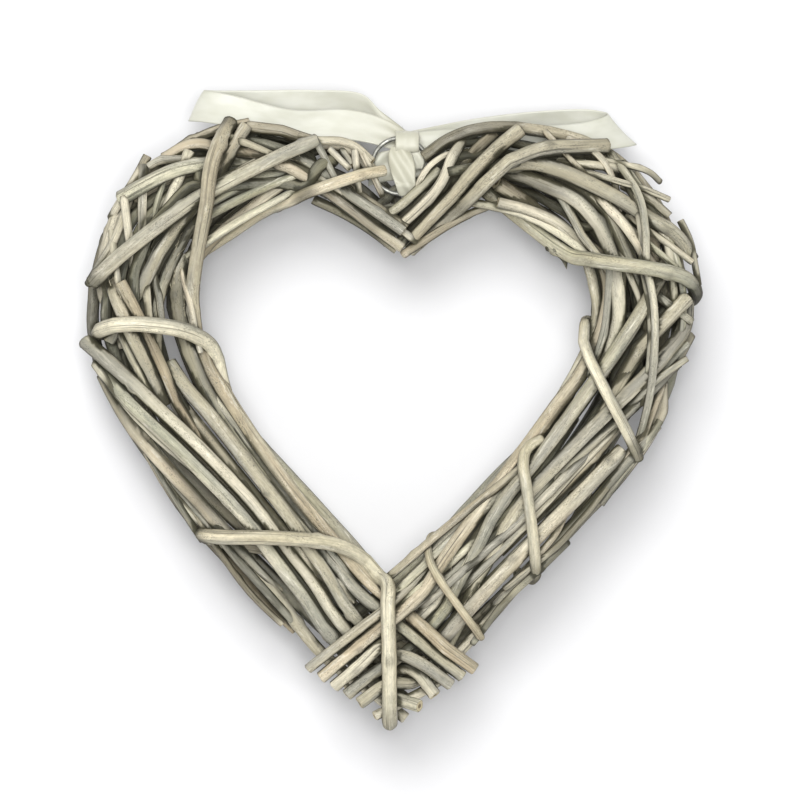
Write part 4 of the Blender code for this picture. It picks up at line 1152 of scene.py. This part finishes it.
def fibre(mesh, points, radius):
    """A thin tube that narrows to a point."""
    rows = []
    for k, point in enumerate(points):
        ahead = points[min(k + 1, len(points) - 1)] - points[max(k - 1, 0)]
        first = ahead.cross(OFF_AXIS).normalized()
        second = ahead.cross(first).normalized()
        thick = radius * (1.0 - FIBRE_TAPER * k / (len(points) - 1))
        row = []
        for corner in range(FIBRE_SIDES):
            turn = 2 * math.pi * corner / FIBRE_SIDES
            row.append(mesh.verts.new(point + thick * (math.cos(turn) * first + math.sin(turn) * second)))
        rows.append(row)
    for here, there in zip(rows, rows[1:]):
        for k in range(FIBRE_SIDES):
            after = (k + 1) % FIBRE_SIDES
            mesh.faces.new((here[k], here[after], there[after], there[k]))
    mesh.faces.new(rows[0][::-1])
    mesh.faces.new(rows[-1])


def curled_fibre(mesh, pixel):
    """A fibre that starts on the long cane nearest to a pixel and curls off it."""
    x, z = across_and_up(pixel)
    node = min(front_nodes, key=lambda n: min(math.hypot(p.x - x, p.z - z) for p in paths[n][0]))
    points, radii = paths[node]
    k = min(range(len(points) - 1), key=lambda i: math.hypot(points[i].x - x, points[i].z - z))
    along = (points[k + 1] - points[k]).normalized() * chance.choice((-1.0, 1.0))
    turn = chance.uniform(-FIBRE_TURN, FIBRE_TURN)
    out = Vector((math.sin(turn), -math.cos(turn), 0.3 * math.sin(turn)))
    out = (out - along * out.dot(along)).normalized()
    start = points[k] + out * radii[k] * FIBRE_SINK + along * chance.uniform(-FIBRE_SLIDE, FIBRE_SLIDE)
    bend = out.cross(along) * chance.uniform(-1.0, 1.0)
    reach, lift = chance.uniform(*FIBRE_REACHES), chance.uniform(*FIBRE_LIFTS)
    steps = np.linspace(0.0, 1.0, FIBRE_POINTS)
    run = [start + reach * (along * t + out * lift * t * t + bend * 0.5 * t * t) for t in steps]
    fibre(mesh, run, chance.uniform(*FIBRE_RADII))


print("a fibre reaches", FIBRE_REACHES[0], "to", FIBRE_REACHES[1], "m")

# %% [markdown]
# The fibres are pale bark that has greyed in places, so one soft noise between two colours is
# enough at their size. They are all one piece.

# %% Frayed fibres
FIBRE_SPOTS = ((180, 275), (172, 290), (250, 243), (230, 250), (333, 172), (130, 300), (520, 474), (612, 186),
               (655, 250), (590, 350), (240, 420), (330, 540), (440, 560), (395, 640), (480, 590))
FIBRES_AT_A_SPOT = 7
SPOT_PIXELS = 14


def fibre_material():
    material, tree, shader = new_material("bark_fibre")
    place = add_node(tree, "ShaderNodeTexCoord").outputs["Object"]
    streak = noise(tree, place, (420, 420, 420), detail=3)
    tone = mix_colour(tree, smooth_step(tree, streak, 0.4, 0.65), colour(92, 88, 72), colour(190, 182, 156))
    fill_sockets(tree, shader, {"Base Color": tone, "Roughness": 0.85})
    return material


def mesh_piece(name, mesh, material):
    data = bpy.data.meshes.new(name)
    mesh.to_mesh(data)
    mesh.free()
    data.shade_smooth()
    data.materials.append(material)
    return new_object(name, data)


mesh = bmesh.new()
for spot in FIBRE_SPOTS:
    for _ in range(FIBRES_AT_A_SPOT):
        curled_fibre(mesh, [value + chance.uniform(-SPOT_PIXELS, SPOT_PIXELS) for value in spot])
fibres = finish_piece(mesh_piece("bark_fibres", mesh, fibre_material()), "greywashed_willow")
print("fibre triangles", triangle_count(fibres))

# %% [markdown]
# ## Hanging ring
# The ring is grey steel wire bent into a circle, with the two ends pressed together at one side.
# A circle of small round sections makes it. The joint is a fine groove where the wire's ends
# meet, hidden low on the right as on most such rings.

# %% Hanging ring
RING_RADIUS = 0.0137
WIRE_RADIUS = 0.0011
RING_STEPS, WIRE_SIDES = 160, 20
JOINT_DEG, JOINT_WIDTH_DEG, JOINT_DEPTH = -38.0, 1.6, 0.22


def steel_material():
    material, tree, shader = new_material("ring_steel")
    place = add_node(tree, "ShaderNodeTexCoord").outputs["Object"]
    cloud = noise(tree, place, (420, 420, 420), detail=4, roughness=0.65)
    scratch = noise(tree, place, (2600, 2600, 2600), detail=2)
    tone = mix_colour(tree, smooth_step(tree, cloud, 0.35, 0.7), colour(160, 160, 153), colour(118, 118, 112))
    rough = straight_map(tree, cloud, 0.3, 0.7, 0.42, 0.60)
    fill_sockets(tree, shader, {"Base Color": tone, "Roughness": rough, "Metallic": 0.85,
                                "Normal": bump(tree, scratch, 0.12, 0.0002)})
    return material


def wire_ring():
    mesh = bmesh.new()
    rows = []
    for step in range(RING_STEPS):
        turn = 2 * math.pi * step / RING_STEPS
        groove = math.exp(-((math.degrees(turn) - JOINT_DEG % 360.0) / JOINT_WIDTH_DEG) ** 2)
        thick = WIRE_RADIUS * (1.0 - JOINT_DEPTH * groove)
        out = Vector((math.cos(turn), 0.0, math.sin(turn)))
        row = []
        for corner in range(WIRE_SIDES):
            angle = 2 * math.pi * corner / WIRE_SIDES
            spot = out * (RING_RADIUS + thick * math.cos(angle)) + Vector((0.0, thick * math.sin(angle), 0.0))
            row.append(mesh.verts.new(spot))
        rows.append(row)
    for here, there in zip(rows, rows[1:] + rows[:1]):
        for corner in range(WIRE_SIDES):
            after = (corner + 1) % WIRE_SIDES
            mesh.faces.new((here[corner], here[after], there[after], there[corner]))
    bmesh.ops.recalc_face_normals(mesh, faces=mesh.faces)
    return mesh_piece("steel_ring", mesh, steel_material())


ring = finish_piece(wire_ring(), "ring_steel", "hanging_ring")
print("ring triangles", triangle_count(ring))

# %% [markdown]
# ## Satin bow
# One length of cream satin ribbon is knotted over the top of the ring. It makes a strip behind
# the ring, two long flat loops that stand on edge behind the tops of the lobes, and a short
# tail. Each run is a path through a few chosen points, close to those of the CAD solid.

# %% Runs of the ribbon
RIBBON_WIDTH = 0.0150
KNOT_X, KNOT_WIDTH = 0.0036, 0.0115
TAIL_WIDTH = 0.0132
LEFT_LOOP = ((0.0040, 0.0048, 0.0105), (-0.0080, 0.0038, 0.0165), (-0.0260, 0.0030, 0.0205),
             (-0.0520, 0.0026, 0.0205), (-0.0780, 0.0034, 0.0262), (-0.0930, 0.0060, 0.0292),
             (-0.1005, 0.0105, 0.0302), (-0.0930, 0.0150, 0.0304), (-0.0720, 0.0172, 0.0306),
             (-0.0440, 0.0168, 0.0306), (-0.0200, 0.0140, 0.0292), (-0.0090, 0.0095, 0.0200))
RIGHT_LOOP = ((-0.0035, 0.0062, 0.0092), (0.0120, 0.0040, 0.0104), (0.0340, 0.0034, 0.0118),
              (0.0620, 0.0036, 0.0122), (0.0860, 0.0044, 0.0136), (0.1010, 0.0066, 0.0160),
              (0.1095, 0.0112, 0.0184), (0.1040, 0.0158, 0.0200), (0.0900, 0.0180, 0.0212),
              (0.0640, 0.0176, 0.0200), (0.0380, 0.0150, 0.0166), (0.0140, 0.0100, 0.0122))
CROSS_STRIP = ((-0.0155, 0.0040, -0.0022), (-0.0105, 0.0026, -0.0008), (-0.0050, 0.0034, 0.0004),
               (0.0010, 0.0026, 0.0010), (0.0070, 0.0034, 0.0020), (0.0125, 0.0030, 0.0026))
KNOT = ((0.0034, 0.0092), (0.0034, 0.0138), (0.0016, 0.0164), (-0.0016, 0.0164),
        (-0.0040, 0.0138), (-0.0050, 0.0092), (-0.0030, 0.0068), (0.0016, 0.0070))
TAIL = ((-0.0006, -0.0030, 0.0095), (0.0002, -0.0042, 0.0050), (0.0010, -0.0046, 0.0000),
        (0.0018, -0.0050, -0.0050), (0.0026, -0.0048, -0.0086), (0.0030, -0.0052, -0.0098),
        (0.0040, -0.0022, -0.0145))
TAIL_SHARES = (0.55, 0.90, 1.0, 0.92, 0.80, 0.74, 0.70)
RIGHT_PLEAT = ((0.0050, -0.0024, 0.0088), (0.0068, -0.0030, 0.0050),
               (0.0082, -0.0026, 0.0010), (0.0088, -0.0016, -0.0016))
PLEAT_SHARES = (0.55, 0.72, 0.62, 0.30)
print("ribbon", RIBBON_WIDTH, "m wide, points of its loops", len(LEFT_LOOP) + len(RIGHT_LOOP))

# %% [markdown]
# ### Satin
# Satin has a soft sheen, and its long threads run along the ribbon. The pattern follows the ribbon's own
# coordinate: across it, along it, and how near the knot it is. Near the knot it is painted darker, as shade.

# %% Satin material
CREAM_DARK, CREAM_PALE = colour(181, 181, 167), colour(192, 192, 181)
# Painted shade near the knot.
KNOT_SHADE_CREAM = colour(168, 166, 148)


def satin_material():
    material, tree, shader = new_material("cream_satin")
    weave = read_attribute(tree, "weave", "Vector")
    slow = noise(tree, weave, (160, 60, 1), detail=2)
    threads = noise(tree, weave, (9000, 500, 1), detail=2, roughness=0.6)
    tone = mix_colour(tree, smooth_step(tree, slow, 0.3, 0.7), CREAM_DARK, CREAM_PALE)
    # Painted shade darkens the satin near the knot.
    tone = mix_colour(tree, split_vector(tree, weave)[2], tone, KNOT_SHADE_CREAM)
    rough = straight_map(tree, threads, 0.3, 0.7, 0.34, 0.50)
    fill_sockets(tree, shader, {
        "Base Color": tone, "Roughness": rough, "Sheen Weight": 0.25, "Sheen Roughness": 0.4,
        "Specular IOR Level": 0.45, "Normal": bump(tree, threads, 0.25, 0.0001),
    })
    return material


cream_satin = satin_material()
print("satin nodes", len(cream_satin.node_tree.nodes))

# %% [markdown]
# ### Sweeping the ribbon
# A soft curve goes through the chosen points, and a row of points across the ribbon is swept
# along it. Near the knot the ribbon is drawn narrow and pleated; further out it is flat with a
# slow wave. The loops lean a little, and the fold at each far end slants.

# %% Sweep of a run
RUN_SPACING, CURVE_STEPS = 0.0007, 24
RIBBON_COLUMNS = 17
FOLD_REACH, PLEAT_REACH, KNOT_SHADE_REACH = 0.016, 0.011, 0.012


def smooth_run(points, closed):
    """Evenly spaced points on a soft curve through the chosen ones."""
    points = [Vector(p) for p in points]
    count = len(points)
    fine = []
    for k in range(count if closed else count - 1):
        a = points[k - 1] if closed or k else points[0]
        b, c = points[k], points[(k + 1) % count]
        d = points[(k + 2) % count] if closed or k + 2 < count else points[-1]
        for t in np.linspace(0.0, 1.0, CURVE_STEPS, endpoint=False):
            square, cube = 2 * a - 5 * b + 4 * c - d, 3 * b - a - 3 * c + d
            fine.append(0.5 * (2 * b + (c - a) * t + square * t ** 2 + cube * t ** 3))
    fine = np.array(fine + [points[0] if closed else points[-1]])
    along = np.concatenate([[0.0], np.cumsum(np.linalg.norm(np.diff(fine, axis=0), axis=1))])
    steps = np.linspace(0.0, along[-1], int(along[-1] / RUN_SPACING) + 1)
    run = np.stack([np.interp(steps, along, fine[:, axis]) for axis in range(3)], 1)
    return (run[:-1], steps[:-1]) if closed else (run, steps)


def leaning(run, across, lean, slant):
    """The ribbon's cross direction at each point: its front and back lean, its fold slants."""
    across = np.repeat([across], len(run), 0)
    depth = (run[:, 1] - run[:, 1].min()) / np.ptp(run[:, 1])
    fold = np.exp(-np.abs(np.abs(run[:, 0]) - np.abs(run[:, 0]).max()) / FOLD_REACH)
    across[:, 1] += lean * (1.0 - 2.0 * depth)
    across[:, 0] += slant * fold
    return across


def run_normals(run, across, closed):
    ahead = np.roll(run, -1, 0) - np.roll(run, 1, 0)
    if not closed:
        ahead[0], ahead[-1] = run[1] - run[0], run[-1] - run[-2]
    normals = np.cross(ahead, across)
    return normals / np.linalg.norm(normals, axis=1)[:, None]


def satin_run(mesh, weave, chosen, closed, across, width, drawn=0.0, pleats=0.0, crown=0.0, wave=0.0,
              lean=0.0, slant=0.0, folds=0.0, shares=(1.0, 1.0)):
    """Sweeps the ribbon along one run. Drawn and pleats act near the run's start and end."""
    run, steps = smooth_run(chosen, closed)
    total = steps[-1] + (steps[1] if closed else 0.0)
    across = leaning(run, across, lean, slant)
    rows = []
    for place, cross, normal, step in zip(run, across, run_normals(run, across, closed), steps):
        near = math.exp(-min(step, total - step) / PLEAT_REACH)
        # The painted shade near the knot fades with the distance from the middle.
        knot_shade = math.exp(-abs(place[0]) / KNOT_SHADE_REACH)
        narrow = np.interp(step / total, np.linspace(0.0, 1.0, len(shares)), shares) * (1.0 - drawn * near)
        row = []
        for share in np.linspace(-1.0, 1.0, RIBBON_COLUMNS):
            # Pleats, wave and folds are sines that run out of step across and along the ribbon.
            lift = pleats * near * math.cos(7.5 * share + 1.3) + crown * (1.0 - share ** 2)
            lift += wave * (1.0 - near) * math.sin(95.0 * step + 1.7 * share)
            lift += folds * math.sin(4.6 * share - 330.0 * step + 0.8)
            vert = mesh.verts.new(place + cross * share * width / 2 * narrow + normal * lift)
            vert[weave] = (share * width / 2, step, knot_shade)
            row.append(vert)
        rows.append(row)
    for here, there in zip(rows, rows[1:] + (rows[:1] if closed else [])):
        for k in range(RIBBON_COLUMNS - 1):
            mesh.faces.new((here[k], here[k + 1], there[k + 1], there[k]))
    return total


print("ribbon rows of", RIBBON_COLUMNS, "points every", RUN_SPACING, "m")

# %% [markdown]
# ### The bow
# All runs are one piece of cloth. A real ribbon is thin, so the sheet gets a third of a millimetre of
# thickness.

# %% The bow
SATIN_THICKNESS = 0.00035
UPRIGHT = (0.0, 0.0, 1.0)
SIDEWAYS = (1.0, 0.0, 0.0)
LOOP_LOOK = {"drawn": 0.22, "pleats": 0.0007, "wave": 0.0006, "lean": 0.30}
LEFT_SLANT, RIGHT_SLANT = 0.55, -0.95
STRIP_FOLDS = 0.0006
KNOT_LOOK = {"pleats": 0.0003, "crown": 0.0004}
TAIL_LOOK = {"crown": 0.0009, "folds": 0.0005, "shares": TAIL_SHARES}
PLEAT_LOOK = {"folds": 0.0003, "shares": PLEAT_SHARES}


def satin_bow():
    mesh = bmesh.new()
    weave = mesh.verts.layers.float_vector.new("weave")
    knot = [(KNOT_X, y, z) for y, z in KNOT]
    length = 0.0
    for chosen, closed, across, width, look in (
        (LEFT_LOOP, True, UPRIGHT, RIBBON_WIDTH, {**LOOP_LOOK, "slant": LEFT_SLANT}),
        (RIGHT_LOOP, True, UPRIGHT, RIBBON_WIDTH, {**LOOP_LOOK, "slant": RIGHT_SLANT}),
        (CROSS_STRIP, False, UPRIGHT, RIBBON_WIDTH, {"folds": STRIP_FOLDS}),
        (knot, True, SIDEWAYS, KNOT_WIDTH, KNOT_LOOK),
        (TAIL, False, SIDEWAYS, TAIL_WIDTH, TAIL_LOOK),
        (RIGHT_PLEAT, False, SIDEWAYS, TAIL_WIDTH, PLEAT_LOOK),
    ):
        length += satin_run(mesh, weave, chosen, closed, across, width, **look)
    piece = mesh_piece("satin_bow", mesh, cream_satin)
    layer = piece.modifiers.new("cloth", "SOLIDIFY")
    layer.thickness = SATIN_THICKNESS
    layer.offset = 0.0
    layer.use_even_offset = True
    return as_plain_mesh(piece, layer), length


bow, ribbon_length = satin_bow()
finish_piece(bow, "cream_satin", "ribbon_bow")
print("ribbon", round(ribbon_length, 3), "m long, triangles", triangle_count(bow))

# %% [markdown]
# ## Wall and floor
# A plain pale wall stands close behind the wreath, and a pale floor is well below it. Both show
# only their front side, so a view from behind isn't blocked. One sheet with a curved foot makes
# them, so that no line shows where they meet.

# %% Wall and floor
WALL_Y, WALL_TOP = 0.046, 1.6
FLOOR_Z, STAGE_REACH = -0.46, 3.0
FOOT_BEND, FOOT_STEPS = 0.10, 13


def stage_material():
    material, tree, shader = new_material("pale_stage")
    fill_sockets(tree, shader, {"Base Color": colour(211, 211, 212), "Roughness": 0.9})
    clear = first_output(tree, "ShaderNodeBsdfTransparent")
    behind = add_node(tree, "ShaderNodeNewGeometry").outputs["Backfacing"]
    mixed = first_output(tree, "ShaderNodeMixShader", {0: behind, 1: shader.outputs[0], 2: clear})
    tree.links.new(mixed, tree.nodes["Material Output"].inputs["Surface"])
    return material


def stage_sheet():
    """Wall, curved foot and floor. The front of the sheet faces the camera."""
    profile = [(WALL_Y, WALL_TOP), (WALL_Y, FLOOR_Z + FOOT_BEND)]
    for a in np.linspace(0, math.pi / 2, FOOT_STEPS)[1:]:
        profile.append((WALL_Y - FOOT_BEND * (1 - math.cos(a)), FLOOR_Z + FOOT_BEND * (1 - math.sin(a))))
    profile.append((-STAGE_REACH, FLOOR_Z))
    corners = [(x, y, z) for y, z in profile for x in (-STAGE_REACH, STAGE_REACH)]
    faces = [(2 * i, 2 * i + 2, 2 * i + 3, 2 * i + 1) for i in range(len(profile) - 1)]
    mesh = bpy.data.meshes.new("stage")
    mesh.from_pydata(corners, [], faces)
    mesh.materials.append(stage_material())
    mesh.shade_smooth()
    return new_object("stage", mesh)


stage = stage_sheet()
print("stage faces", len(stage.data.polygons))

# %% [markdown]
# ## Light
# Two large soft lamps and a weak white surround give the gentle light of a studio. The key lamp
# stands high on the left; the fill lamp is near the camera and takes the depth out of the
# shadows.

# %% Lamps
# Each lamp: its name, its place, its width in metres and its power in watts.
LAMPS = (("key", (-0.28, -2.0, 0.9), 1.3, 44.0), ("fill", (0.1, -2.5, -0.05), 0.9, 33.0))
SURROUND = 0.30

for name, place, size, power in LAMPS:
    data = bpy.data.lights.new(name, "AREA")
    data.shape = "DISK"
    data.size = size
    data.energy = power
    lamp = new_object(name, data)
    lamp.location = place
    lamp.rotation_euler = (PICTURE_MIDDLE - Vector(place)).to_track_quat("-Z", "Y").to_euler()
world = bpy.data.worlds.new("studio")
world.use_nodes = True
background = world.node_tree.nodes["Background"]
fill_sockets(world.node_tree, background, {"Color": (1.0, 1.0, 1.0, 1.0), "Strength": SURROUND})
bpy.context.scene.world = world
print("lamps", len(LAMPS))
